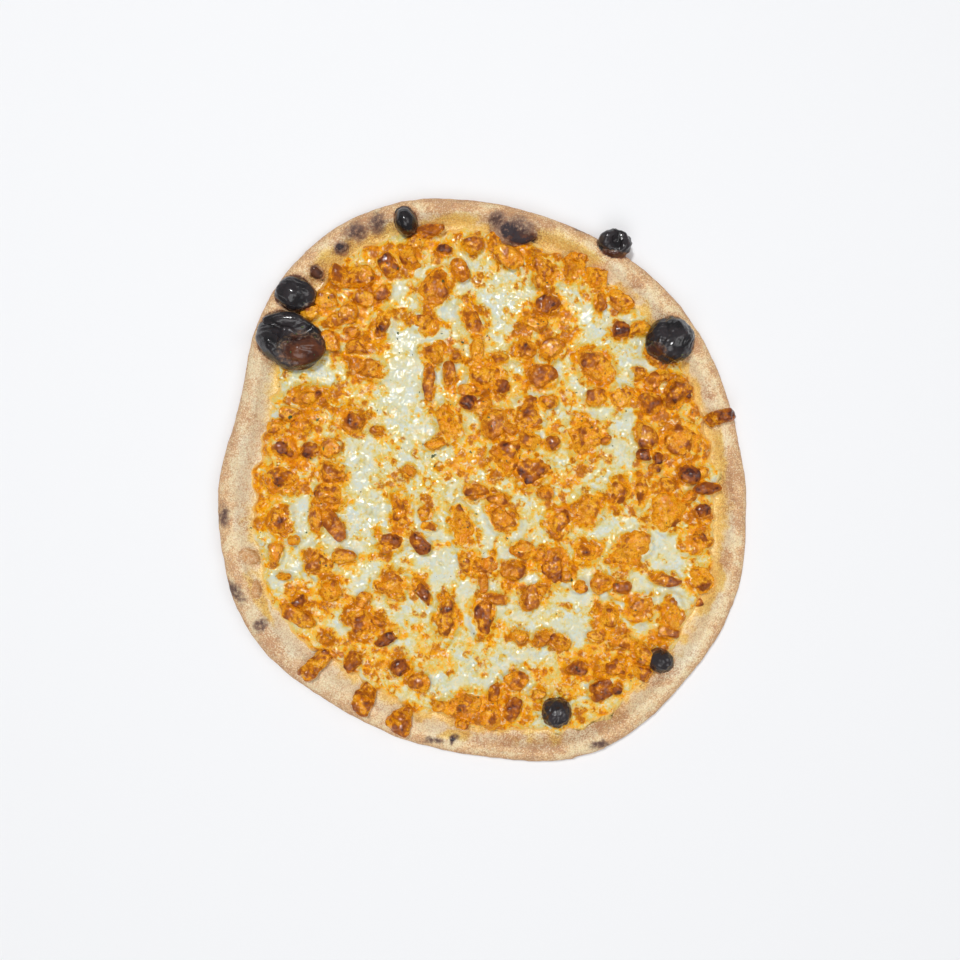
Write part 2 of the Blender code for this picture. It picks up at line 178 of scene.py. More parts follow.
def bulging(mesh, rounds):
    # how far each point stands out from its neighbours, in mm
    ends = np.empty(len(mesh.edges) * 2, np.int32)
    mesh.edges.foreach_get("vertices", ends)
    ends = ends.reshape(-1, 2)

    def nearby(values):
        total, count = np.zeros_like(values), np.zeros((len(values), 1))
        for first, second in ((0, 1), (1, 0)):
            np.add.at(total, ends[:, first], values[ends[:, second]])
            np.add.at(count, ends[:, first], 1)
        return total / count

    points = pointsOf(mesh)
    stand = np.sum((points - nearby(points)) * normalsOf(mesh), axis=1)[:, None]
    for _ in range(rounds):
        stand = (stand + nearby(stand)) / 2
    return stand[:, 0]


def toShape(*meshes):
    shape = bmesh.new()
    for mesh in meshes:
        shape.from_mesh(mesh)
    return shape


def joined(name, meshes):
    # several meshes become one
    shape = toShape(*meshes)
    for mesh in meshes:
        bpy.data.meshes.remove(mesh)
    return toMesh(name, shape)


def newBall(fineness):
    shape = bmesh.new()
    bmesh.ops.create_icosphere(shape, subdivisions=fineness, radius=1)
    for face in shape.faces:
        face.smooth = True
    return toMesh("ball", shape)


def softened(shape, rounds=1):
    for _ in range(rounds):
        bmesh.ops.smooth_vert(shape, verts=shape.verts, factor=0.5, use_axis_x=True, use_axis_y=True,
                              use_axis_z=True)


def closed(shape):
    # all faces so far are shaded smooth, and each hole gets a flat one
    for face in shape.faces:
        face.smooth = True
    holes = [edge for edge in shape.edges if edge.is_boundary]
    for face in bmesh.ops.holes_fill(shape, edges=holes, sides=0)["faces"]:
        face.smooth = False
    bmesh.ops.recalc_face_normals(shape, faces=shape.faces)


def below(surface, x, y):
    # the point of a surface under a place on the plan, and the way that it faces
    return surface.ray_cast(Vector((x * mm, y * mm, 0.1)), Vector((0, 0, -1)))[:2]


def addPiece(name, mesh, material, slotName, *nodes):
    mesh.materials.clear()
    mesh.materials.append(material)
    piece = bpy.data.objects.new(name, mesh)
    bpy.context.scene.collection.objects.link(piece)
    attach(piece, "root")
    if nodes:
        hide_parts(*nodes)
    return piece


# Shader nodes

def newMaterial(name, **settings):
    material = bpy.data.materials.new(name)
    material.use_nodes = True
    shader = material.node_tree.nodes["Principled BSDF"]
    for socket, value in settings.items():
        shader.inputs[socket.replace("_", " ")].default_value = value
    return material, material.node_tree, shader


def feed(socket, value):
    if isinstance(value, bpy.types.NodeSocket):
        socket.id_data.links.new(value, socket)
    else:
        socket.default_value = value


def addNode(tree, kind, settings=None, **inputs):
    node = tree.nodes.new("ShaderNode" + kind)
    for key, value in (settings or {}).items():
        setattr(node, key, value)
    for key, value in inputs.items():
        feed(node.inputs[key.replace("_", " ")], value)
    return node


def maths(operation, first, second):
    node = addNode(first.id_data, "Math", {"operation": operation})
    feed(node.inputs[0], first)
    feed(node.inputs[1], second)
    return node.outputs[0]


def plus(first, second):
    return maths("ADD", first, second)


def times(first, second):
    return maths("MULTIPLY", first, second)


def mixColours(mask, first, second, blend="MIX"):
    node = addNode(mask.id_data, "Mix", {"data_type": "RGBA", "blend_type": blend})
    for index, value in ((0, mask), (6, first), (7, second)):
        feed(node.inputs[index], (*value, 1) if isinstance(value, tuple) else value)
    return node.outputs[2]


def layered(colour, *layers):
    # each layer is a mask and the colour that covers where the mask is 1
    for mask, tint, *blend in layers:
        colour = mixColours(mask, colour, tint, *blend)
    return colour


def painted(tree, name):
    return addNode(tree, "Attribute", {"attribute_name": name}).outputs["Fac"]


def remap(value, low, high, toLow=0.0, toHigh=1.0):
    node = addNode(value.id_data, "MapRange", {"interpolation_type": "SMOOTHSTEP"}, Value=value)
    for socket, number in zip(node.inputs[1:5], (low, high, toLow, toHigh)):
        socket.default_value = number
    return node.outputs["Result"]


def place(tree):
    return addNode(tree, "TexCoord").outputs["Object"]


def grain(tree, size, detail=3.0, roughness=0.6, distortion=0.0):
    # noise with waves of this size in mm
    return addNode(tree, "TexNoise", Vector=place(tree), Scale=1 / (size * mm), Detail=detail,
                   Roughness=roughness, Distortion=distortion).outputs["Fac"]


def rampOf(value, *stops):
    ramp = addNode(value.id_data, "ValToRGB", Fac=value)
    for position, colour in stops[1:-1]:
        ramp.color_ramp.elements.new(position)
    for element, (position, colour) in zip(ramp.color_ramp.elements, stops):
        element.position = position
        element.color = (*colour, 1)
    return ramp.outputs["Color"]


def dress(shader, colour, gloss, *relief):
    # each layer of relief is a value and its height in mm; gives the bent normal back
    feed(shader.inputs["Base Color"], colour)
    feed(shader.inputs["Roughness"], gloss)
    normal = None
    for value, height in relief:
        bump = addNode(shader.id_data, "Bump", Height=value, Distance=height * mm, Strength=1.0)
        if normal:
            feed(bump.inputs["Normal"], normal)
        normal = bump.outputs["Normal"]
    feed(shader.inputs["Normal"], normal)
    return normal


# The crust: rim, floor and charred bubbles

crustLook = {
    "edgeRadius": 188,
    "rimWidth": 23.5,
    "rimHeight": 13.5,
    "edgeHeight": 5.5,
    "crestShare": 0.42,  # of the rim's width, from the edge to the crest
    "underTuck": 6,
    "floorHeight": 3.5,
    "underCut": 0.45,  # what comes off below, so that the crust lies flat
    "floorShownTo": 3,  # how far in from the rim's foot the floor is kept fine
    "floorSlack": 0.3,  # how far over the floor's level a face still counts as floor
    "turns": 400,
    "voxel": 0.93,
    "unevenness": 0.9,
    "unevenSize": 26,
    # each swell: direction, amount, half width in degrees
    "edgeSwells": (
        (17, -5, 22), (117, 19, 32), (163, -9.5, 14), (214, 9.5, 20), (252, 3, 14), (294, 20, 24),
        (330, 9, 18),
    ),
    "widthSwells": (
        (0, -2.5, 20), (45, 1.5, 15), (85, -2.5, 25), (185, 2, 20), (228, 4.5, 22), (275, -2.5, 20),
    ),
    "heightSwells": (
        (10, -1, 20), (70, 0.8, 14), (112, 1.6, 20), (190, 0.8, 18), (225, -1.2, 14), (300, 1.8, 22),
        (345, 0.7, 12),
    ),
    # each bubble: x, y, length, width, root, top, turn
    "bubbles": {
        "collapsed": (-134.5, 98, 49, 38, 1.2, 28, -24),
        "wrinkled": (-131.5, 130.5, 29, 23, 1.2, 23, -18),
        "smoothNorth": (-54, 181, 15, 20, 1.2, 24, 16),
        "lowBurnt": (21, 176, 31, 21, 1.2, 15.8, -8),
        "broken": (92.5, 166, 23, 19, 6, 22, -12),
        "roundEast": (130.5, 97.5, 33, 32, 1.2, 29, 20),
        "dullSouthEast": (124.5, -127, 18, 16, 1.2, 21, -10),
        "smoothSouth": (51.5, -163.5, 20, 20, 1.2, 23, 0),
        "smallDark": (-100, 163.5, 9.5, 8.5, 3, 15.6, -20),
        "smallBrown": (-117, 146.5, 10, 8, 3, 13.2, -50),
        "scrapWest": (-165, -54, 14, 9, 3, 12.5, -30),
        "scrapSouthWest": (-160, -78, 12, 6, 3, 12, 95),
    },
    "bigBubble": 18,  # from this length a bubble is made finer
    "bubbleBend": 3.2,  # how bluntly its low half is rounded, 2 for a plain ball
    "bubbleInset": 1.5,
    "overhang": 1.5,  # how far out a bubble may lean for each mm that it is higher than the edge
    "puff": 0.07,  # how uneven a bubble's form is
    # sunken and raised places: bubble, place, radius, rise
    "dents": (
        ("collapsed", (-149, 109), 7, -5), ("collapsed", (-139, 104), 7, -9),
        ("collapsed", (-128, 103), 8, -10), ("collapsed", (-118, 104), 6, -7),
        ("collapsed", (-136, 88), 6, -3), ("lowBurnt", (27, 173), 7, -2.5),
        ("broken", (92, 166), 5, -6.5), ("broken", (97, 170), 4, -2.5), ("roundEast", (126, 104), 6, -3),
        ("wrinkled", (-126, 122), 6, -3), ("broken", (85, 171), 5, 4), ("collapsed", (-128, 91), 8, 2.5),
        ("collapsed", (-150, 97), 9, 3),
    ),
}


def swell(angles, name):
    turns = np.degrees(angles)
    return sum(amount * np.exp(-((((turns - middle + 180) % 360 - 180) / halfWidth) ** 2))
               for middle, amount, halfWidth in crustLook[name])


def edgeAt(angles):
    return crustLook["edgeRadius"] + swell(angles, "edgeSwells")


def rimWidthAt(angles):
    return crustLook["rimWidth"] + swell(angles, "widthSwells")


def footAt(angles):
    return edgeAt(angles) - rimWidthAt(angles)


def rimTopAt(angles, radii):
    # height of the rim's inner slope, and of the floor inside it
    slope = rimWidthAt(angles) * (1 - crustLook["crestShare"])
    share = np.clip((radii - footAt(angles)) / slope, 0, 1)
    rise = (1 - np.cos(np.pi * share)) / 2
    crest = crustLook["rimHeight"] + swell(angles, "heightSwells")
    return crustLook["floorHeight"] + (crest - crustLook["floorHeight"]) * rise


def rimSection():
    # over the floor, up the slope, over the crest, down the edge and back underneath
    look = crustLook
    edge, crestHeight, edgeHeight, floor = (
        look[name] for name in ("edgeRadius", "rimHeight", "edgeHeight", "floorHeight"))
    foot = edge - look["rimWidth"]
    crest = edge - look["rimWidth"] * look["crestShare"]
    slope = [(foot + (crest - foot) * share,
              floor + (crestHeight - floor) * (1 - math.cos(math.pi * share)) / 2)
             for share in np.linspace(0, 1, 13)]
    shoulder = [(crest + (edge - crest) * math.sin(turn),
                 edgeHeight + (crestHeight - edgeHeight) * math.cos(turn))
                for turn in np.linspace(0, math.pi / 2, 12)[1:]]
    side = [(edge - look["underTuck"] * (1 - math.cos(turn)), edgeHeight * (1 - math.sin(turn)))
            for turn in np.linspace(0, math.pi / 2, 8)[1:]]
    return [(0, floor), (foot * 0.5, floor), *slope, *shoulder, *side, (foot * 0.5, 0), (0, 0)]


def stretched(points):
    # the turned crust drawn out to the uneven edge, width and height of the real one
    look = crustLook
    angles, radii = polar(points)
    foot = look["edgeRadius"] - look["rimWidth"]
    inRim = edgeAt(angles) - (look["edgeRadius"] - radii) * rimWidthAt(angles) / look["rimWidth"]
    wide = np.where(radii > foot, inRim, radii * footAt(angles) / foot)
    above = np.clip((points[:, 2] - look["floorHeight"]) / (look["rimHeight"] - look["floorHeight"]), 0, None)
    uneven, size = look["unevenness"], look["unevenSize"]
    height = points[:, 2] + above * (swell(angles, "heightSwells") + uneven * waves(points, size, 3))
    wide += above * uneven * waves(points, size, 4)
    return np.column_stack([np.cos(angles) * wide, np.sin(angles) * wide, height])


def leanOf(name, heights):
    # how far a bubble's low part leans in under the rim, so that it stays inside the edge
    look = crustLook
    x, y, length, width = look["bubbles"][name][:4]
    out = math.hypot(x, y)
    reach = edgeAt(math.atan2(y, x)) - look["bubbleInset"] + look["overhang"] * (heights - look["edgeHeight"])
    return np.clip(out + width / 2 - reach, 0, None)[:, None] * np.array((x, y)) / out


def bubblePoints(name, ways):
    # a ball's points, as directions, moved to the bubble's form
    look = crustLook
    x, y, length, width, root, top, turn = look["bubbles"][name]
    shaped = ways[:, :2].copy()
    across = np.hypot(ways[:, 0], ways[:, 1])
    barrel = np.clip(1 - np.abs(ways[:, 2]) ** look["bubbleBend"], 0, None) ** (1 / look["bubbleBend"])
    low = (ways[:, 2] < 0) & (across > 1e-6)
    shaped[low] *= (barrel[low] / across[low])[:, None]
    puff = 1 + look["puff"] * waves(ways * 1.7 + np.array((x, y, 0)) * 0.4, 1)
    height = root + (top - root) / 2 * (1 + ways[:, 2])
    shaped *= np.array((length / 2, width / 2)) * puff[:, None]
    plan = np.array((x, y)) + shaped @ turned(turn) - leanOf(name, height)
    for bubble, place, radius, rise in look["dents"]:
        if bubble == name:
            away = np.sum((plan - np.array(place)) ** 2, axis=1)
            height = height + np.clip(ways[:, 2], 0, None) * rise * np.exp(-away / radius**2)
    return np.column_stack([plan, height])


def blownCrust():
    # the section spun round, with a ball for each bubble
    look = crustLook
    shape = bmesh.new()
    corners = [shape.verts.new((radius, 0, height)) for radius, height in rimSection()]
    edges = [shape.edges.new(pair) for pair in zip(corners, corners[1:])]
    bmesh.ops.spin(shape, geom=corners + edges, cent=(0, 0, 0), axis=(0, 0, 1), angle=2 * math.pi,
                   steps=look["turns"], use_merge=True)
    bmesh.ops.remove_doubles(shape, verts=shape.verts, dist=0.001)
    bmesh.ops.recalc_face_normals(shape, faces=shape.faces)
    base = toMesh("crust", shape)
    setPoints(base, stretched(pointsOf(base) * mm))
    meshes = [base]
    for name, bubble in look["bubbles"].items():
        ball = newBall(5 if bubble[2] > look["bigBubble"] else 4)
        setPoints(ball, bubblePoints(name, pointsOf(ball) * mm))
        meshes.append(ball)
    return joined("crust", meshes)


def oneSkin(mesh, voxel):
    # everything that touches becomes one skin
    helper = bpy.data.objects.new("helper", mesh)
    bpy.context.scene.collection.objects.link(helper)
    skin = helper.modifiers.new("skin", "REMESH")
    skin.mode = "VOXEL"
    skin.voxel_size = voxel * mm
    bpy.context.view_layer.update()
    made = bpy.data.meshes.new_from_object(helper.evaluated_get(bpy.context.evaluated_depsgraph_get()))
    bpy.data.objects.remove(helper)
    return made


def withoutHiddenFloor(mesh):
    # the floor under the cheese and the flat underside become single faces
    look = crustLook
    shape = toShape(mesh)
    softened(shape)
    bmesh.ops.bisect_plane(shape, geom=shape.verts[:] + shape.edges[:] + shape.faces[:], dist=1e-7,
                           plane_co=(0, 0, look["underCut"] * mm), plane_no=(0, 0, 1), clear_inner=True)
    for corner in shape.verts:
        if corner.is_boundary:
            corner.co.z = 0
    middles = np.array([face.calc_center_median() for face in shape.faces]) / mm
    angles, radii = polar(middles)
    hidden = radii < footAt(angles) - look["floorShownTo"]
    hidden &= middles[:, 2] < look["floorHeight"] + look["floorSlack"]
    faces = shape.faces[:]
    bmesh.ops.delete(shape, geom=[faces[index] for index in np.flatnonzero(hidden)], context="FACES")
    closed(shape)
    return toMesh("crust", shape)


def inBubble(points, name):
    # 1 on the bubble's skin and inside it, 0 clear of it; and the height within it, -1 to 1
    look = crustLook
    x, y, length, width, root, top, turn = look["bubbles"][name]
    plan = points[:, :2] - np.array((x, y)) + leanOf(name, points[:, 2])
    along, aside = turned(turn) @ plan.T
    across = np.hypot(along / (length / 2), aside / (width / 2))
    level = (points[:, 2] - root) / ((top - root) / 2) - 1
    bend = np.where(level < 0, look["bubbleBend"], 2)
    away = (across**bend + np.abs(np.minimum(level, 0.6)) ** bend) ** (1 / bend)
    slack = 0.08 * smooth(level, -0.3, 0.2)
    return 1 - smooth(away - slack, 1.03, 1.11), level


def lineDistance(plan, corners):
    nearest = np.full(len(plan), 1e3)
    for start, end in zip(np.array(corners, float), np.array(corners, float)[1:]):
        way = end - start
        share = np.clip((plan - start) @ way / (way @ way), 0, 1)
        nearest = np.minimum(nearest, np.linalg.norm(plan - start - share[:, None] * way, axis=1))
    return nearest


def ridges(points, turn, across, along, seed):
    # uneven wrinkles that run in one direction
    spun = np.column_stack([points[:, :2] @ turned(turn).T, points[:, 2] / 2]) / (along, across, across)
    bend = np.column_stack([waves(spun, 1.9, seed + 1), waves(spun, 1.9, seed + 2), 0 * spun[:, 0]])
    return 1 - 2 * np.abs(waves(spun + 0.35 * bend, 1, seed))


bakeLook = {
    # wrinkles: bubble, direction, size across, size along, depth
    "wrinkles": (
        ("wrinkled", -32, 2.4, 9, 0.4), ("roundEast", 52, 2.6, 7, 0.4), ("roundEast", -30, 4, 7, 0.3),
        ("collapsed", 15, 5, 14, 0.35), ("dullSouthEast", -35, 2.4, 8, 0.2), ("broken", 70, 3, 7, 0.5),
        ("lowBurnt", 10, 3.5, 6, 0.2), ("smallDark", 40, 2, 4, 0.2), ("smoothSouth", 60, 3.4, 7, 0.8),
        ("smoothNorth", 75, 5, 9, 0.2), ("dullSouthEast", 40, 3.6, 6, 0.5),
    ),
    # folds: bubble, places along it, half width, depth
    "folds": (
        ("collapsed", ((-159, 113), (-150, 111), (-143, 108), (-137, 107), (-133, 104), (-127, 104),
                       (-121, 108)), 1.3, 1.7),
        ("collapsed", ((-141, 106), (-144, 99), (-144, 92), (-140, 85), (-131, 83)), 1.6, 1.6),
        ("collapsed", ((-152, 96), (-148, 93), (-145, 88)), 1.3, 0.9),
        ("collapsed", ((-128, 94), (-121, 93), (-115, 92)), 1.2, 0.8),
        ("roundEast", ((131, 117), (128, 110), (131, 104), (128, 99)), 1.6, 1.3),
        ("roundEast", ((117, 97), (122, 93), (127, 87), (135, 83)), 1.5, 1.2),
        ("broken", ((83, 164), (90, 162), (98, 164)), 1.4, 1.2),
        ("broken", ((96, 169), (97, 165), (95, 161)), 1.2, 0.8),
    ),
    "skinWaves": ((0.4, 11, 21), (0.16, 4, 22)),  # height, size, seed
    "blebs": (15, 0.55, 0.55),  # spacing, share that shows, height
    "charred": (
        "collapsed", "wrinkled", "smoothNorth", "broken", "roundEast", "dullSouthEast", "smoothSouth",
    ),
    "charredAbove": 14.6,
    "flatBubbles": ("lowBurnt", "smallDark", "smallBrown"),
    "toppings": ("scrapWest", "scrapSouthWest"),
    "bakedRound": (("lowBurnt", 12), ("smallBrown", 6)),  # how much wider than a bubble its browning is
    "haloWidth": 2.5,  # of browner dough round each bubble
    # how soft the edges of each kind of patch are
    "blurs": {"blackPatches": 0.6, "russetPatches": 0.5, "smudges": 0.7, "oiledPatches": 0.6,
              "dryPatches": 0.4, "brownPatches": 0.7},
    # patches: x, y, length, width and, where it isn't 0, turn
    "blackPatches": (
        (19, 176, 17, 13, -15), (27, 170, 20, 6), (-101, 165, 6, 6), (-22, -184, 4, 7),
    ),
    "russetPatches": (
        (27, 171, 24, 10, -5), (-125, 90, 42, 30, -12), (-53, 173, 16, 10), (121, 90, 14, 16, -45),
        (92, 159, 22, 8), (-122, 121, 20, 10, 20), (67, -160, 8, 8), (-118, 147, 11, 8, -50),
    ),
    "smudges": (
        (-90, 176, 18, 13, 20), (-75, 182, 13, 16), (68, 178, 9, 4, -20), (-157, -103, 11, 8, 40),
        (-100, 164, 11, 10), (-117, 146, 8, 5, -50), (9, 184, 13, 12), (22, 177, 30, 20, -8),
        (-35, -184, 12, 5), (83, -187, 15, 5, 8), (-183, -25, 8, 16), (-176, -79, 20, 9, -55),
        (-20, -182, 6, 5),
    ),
    "oiledPatches": (
        (-105, 155, 44, 20, 38), (20, 172, 90, 18, -4), (66, 162, 46, 12, -24), (-78, 166, 44, 16, 28),
        (-22, 182, 40, 12, 6), (164, -12, 16, 84), (-158, -85, 7, 40, 30), (160, -82, 10, 30, -25),
        (-60, 176, 26, 14, 10), (166, -66, 10, 26, 12), (150, 62, 10, 24, 10), (-20, -180, 26, 8),
        (167, 8, 10, 60),
    ),
    "dryPatches": (
        (-168, 40, 34, 130), (-135, -122, 100, 32, -45), (70, -172, 40, 14, 15),
    ),
    "brownPatches": (
        (184, 36, 13, 92), (158, 112, 34, 18, -52), (173, -56, 8, 12), (88, -171, 24, 20, 30),
        (35, -186, 60, 16), (160, 62, 10, 8), (-116, 151, 12, 8, 20), (-86, 178, 40, 18, 20),
        (-82, 180, 40, 22, 20), (22, 186, 46, 16, -5), (45, 181, 16, 8, -10), (178, 2, 14, 46),
        (181, -20, 8, 40), (108, 140, 16, 8, -45), (30, -186, 60, 10, 3), (-60, -185, 30, 10, -12),
        (150, 100, 14, 22, 20), (-175, -60, 10, 30, 12), (-150, -115, 26, 12, -48), (-178, 40, 10, 40),
        (130, -138, 24, 10, 40), (-20, 193, 40, 8),
    ),
    "colours": {
        "plain": (0.86, 0.69, 0.41),
        "golden": (0.81, 0.52, 0.25),
        "pale": (0.87, 0.78, 0.55),
        "dry": (0.63, 0.53, 0.37),
        "brown": (0.50, 0.25, 0.10),
        "oiled": (0.90, 0.60, 0.16),
        "oilTint": (1.0, 0.95, 0.62),
        "blotch": (0.60, 0.32, 0.16),
        "mottle": (0.50, 0.25, 0.12),
        "spot": (0.52, 0.27, 0.14),
        "paleSpeck": (0.90, 0.80, 0.58),
        "smudge": (0.17, 0.095, 0.07),
        "topping": (0.58, 0.26, 0.06),
        "black": (0.03, 0.018, 0.022),
        # dark and light
        "russet": ((0.045, 0.014, 0.009), (0.14, 0.042, 0.016)),
        "char": ((0.010, 0.009, 0.010), (0.038, 0.031, 0.034)),
    },
}


def skinRise(points, plan, members, onAny):
    # the dough's uneven skin, and the wrinkles and folds of the bubbles
    dough = (1 - onAny) * smooth(points[:, 2], 1, 4)
    rise = dough * sum(high * waves(points, size, seed) for high, size, seed in bakeLook["skinWaves"])
    spacing, share, high = bakeLook["blebs"]
    away, chance, size = scattered(points, spacing, 31, flat=False)
    rise += dough * (chance > 1 - share) * high * (1 - smooth(away, 0, 2 + 3 * size))
    for name, direction, across, along, depth in bakeLook["wrinkles"]:
        member, level = members[name]
        rise += member * smooth(level, -0.9, 0) * depth * ridges(points, direction, across, along, 40)
    for name, corners, halfWidth, depth in bakeLook["folds"]:
        member, level = members[name]
        near = lineDistance(plan, corners) + 0.5 * waves(points, 5, 45)
        rise -= member * smooth(level, -0.9, -0.2) * depth * np.exp(-((near / halfWidth) ** 2))
    return rise


def bakedShares(points, plan, onTop, members, onAny):
    # how far each place is charred, browned, oiled and so on
    look = bakeLook
    angles, radii = polar(points)
    inRim = (radii - footAt(angles)) / rimWidthAt(angles)
    warped = plan + 1.4 * np.column_stack([roughWaves(points, 7, 60), roughWaves(points, 7, 70)])
    marks = {kind: patches(warped, look[kind], blur) for kind, blur in look["blurs"].items()}
    charred, flat, topping = (np.max([members[name][0] for name in look[kind]], axis=0)
                              for kind in ("charred", "flatBubbles", "toppings"))
    ragged = points[:, 2] - look["charredAbove"] + 1.2 * roughWaves(points, 6, 50)
    char = charred * smooth(ragged, -1.5, 1.5)
    baked = onAny
    for name, wider in look["bakedRound"]:
        x, y, length, width = crustLook["bubbles"][name][:4]
        baked = np.maximum(baked, patch(plan, x, y, length + wider, width + wider))
    russet = baked * onTop * marks["russetPatches"]
    char *= 1 - 0.75 * russet
    sides = onAny * (1 - flat) * (1 - char)
    russet = np.maximum(russet, 0.8 * sides * smooth(points[:, 2], 3, 9)) * (1 - topping)
    smudge = onTop * np.maximum(marks["smudges"], 1.6 * marks["blackPatches"])

    across = inRim + 0.22 * roughWaves(points, 24, 83)
    outer = smooth(across, 0.42, 0.95) * (0.55 + 0.45 * waves(points, 40, 81))
    outer = np.maximum(outer, 0.9 * smooth(inRim, 0.78, 1.0))
    toast = np.maximum(0.75 * onTop * marks["brownPatches"], 0.8 * outer)
    toast = np.clip(toast + 0.25 * roughWaves(points, 9, 82), 0, 1)
    for x, y, length, width, root, top, turn in crustLook["bubbles"].values():
        wider = 2 * look["haloWidth"]
        halo = patch(points[:, :2], x, y, length + wider, width + wider, turn, 0.3)
        toast = np.maximum(toast, halo * (0.85 if top > 13 else 0.4))
    pale = (1 - smooth(across, 0.25, 0.7)) * (0.7 + 0.3 * waves(points, 18, 85))
    dry = marks["dryPatches"]
    oil = 0.8 * (1 - smooth(inRim + 0.22 * roughWaves(points, 12, 87), 0.05, 0.45)) * (1 - 0.7 * dry)
    oil = np.maximum(oil, onTop * marks["oiledPatches"]) * (1 - onAny)
    return {"char": char, "russet": russet, "smudge": smudge, "toast": toast, "pale": pale, "dry": dry,
            "oil": oil, "topping": topping}


def bakedCrust(mesh):
    # fine form of the dough, and how far each place is baked
    points, normals = pointsOf(mesh), normalsOf(mesh)
    plan = seenFromAbove(points)
    members = {name: inBubble(points, name) for name in crustLook["bubbles"]}
    onAny = np.max([member for member, level in members.values()], axis=0)
    shares = bakedShares(points, plan, smooth(normals[:, 2], -0.2, 0.3), members, onAny)
    rise = skinRise(points, plan, members, onAny) * smooth(points[:, 2], 0, 3)
    setPoints(mesh, points + normals * rise[:, None])
    for name, values in shares.items():
        paint(mesh, name, values)


def doughMaterial():
    material, tree, shader = newMaterial("bakedDough", Subsurface_Weight=0.06, Subsurface_Scale=0.003,
                                         Specular_IOR_Level=0.5)
    tones = bakeLook["colours"]
    freckles, clouds, specks = grain(tree, 2.6, 3, 0.65), grain(tree, 13, 3, 0.55), grain(tree, 1.0, 2, 0.6)
    oil, smudge, russet, char = (painted(tree, name) for name in ("oil", "smudge", "russet", "char"))
    toasted = plus(painted(tree, "toast"), remap(clouds, 0.35, 0.7, -0.16, 0.2))
    oiled = plus(oil, remap(freckles, 0.3, 0.7, -0.15, 0.15))
    blotches = times(remap(grain(tree, 7, 4, 0.6), 0.42, 0.62), remap(toasted, -0.1, 0.8, 0.1, 0.5))
    mottle = times(remap(freckles, 0.46, 0.66), remap(toasted, -0.1, 0.6, 0.15, 0.7))
    spotted = times(remap(specks, 0.48, 0.62), remap(toasted, -0.1, 0.5, 0.4, 0.9))
    smudged = times(smudge, remap(freckles, 0.3, 0.6, 0.55, 1))
    stained = times(painted(tree, "topping"), remap(freckles, 0.3, 0.65, 0.15, 0.7))
    reddened = plus(russet, remap(freckles, 0.3, 0.7, -0.2, 0.2))
    charred = plus(char, remap(freckles, 0.35, 0.65, -0.1, 0.1))
    russetTone = mixColours(remap(clouds, 0.35, 0.65), *tones["russet"])
    charTone = mixColours(remap(clouds, 0.3, 0.7), *tones["char"])
    colour = layered(tones["plain"],
                     (remap(toasted, 0.0, 0.45), tones["golden"]),
                     (remap(painted(tree, "pale"), 0.15, 0.9), tones["pale"]),
                     (remap(painted(tree, "dry"), 0, 1, 0, 0.36), tones["dry"]),
                     (remap(toasted, 0.4, 0.95, 0, 0.8), tones["brown"]),
                     (remap(oiled, 0.1, 0.9, 0, 0.8), tones["oiled"]),
                     (blotches, tones["blotch"]),
                     (mottle, tones["mottle"]),
                     (spotted, tones["spot"]),
                     (remap(specks, 0.47, 0.32, 0, 0.7), tones["paleSpeck"]),
                     (remap(oiled, 0.2, 0.9, 0, 0.8), tones["oilTint"], "MULTIPLY"),
                     (remap(smudged, 0, 1), tones["smudge"]),
                     (stained, tones["topping"]),
                     (remap(reddened, 0.0, 0.9), russetTone),
                     (remap(smudged, 0.75, 1.3), tones["black"]),
                     (remap(charred, 0.2, 0.7), charTone))
    burnt = times(maths("MAXIMUM", char, times(russet, 0.85)), remap(smudge, 0.2, 0.9, 1, 0.25))
    shiny = plus(maths("MAXIMUM", burnt, times(oil, 0.9)), remap(clouds, 0.3, 0.7, 0.1, -0.1))
    # dry skin wrinkles where it is burnt
    creased = addNode(tree, "TexNoise", {"noise_type": "RIDGED_MULTIFRACTAL"}, Vector=place(tree),
                      Scale=1 / (4 * mm), Detail=2.0, Distortion=0.8).outputs["Fac"]
    bare = remap(burnt, 0.2, 0.8, 1, 0.3)
    dress(shader, colour, remap(shiny, 0.3, 0.85, 0.75, 0.18), (clouds, 0.4), (times(freckles, bare), 0.3),
          (times(specks, bare), 0.10), (times(creased, burnt), 0.16))
    return material


crustMesh = withoutHiddenFloor(oneSkin(blownCrust(), crustLook["voxel"]))
bakedCrust(crustMesh)
addPiece("crustDough", crustMesh, doughMaterial(), "dough", "crust")
print("stage: crust,", len(crustMesh.polygons), "faces")


# The melted layer of cheese and sauce

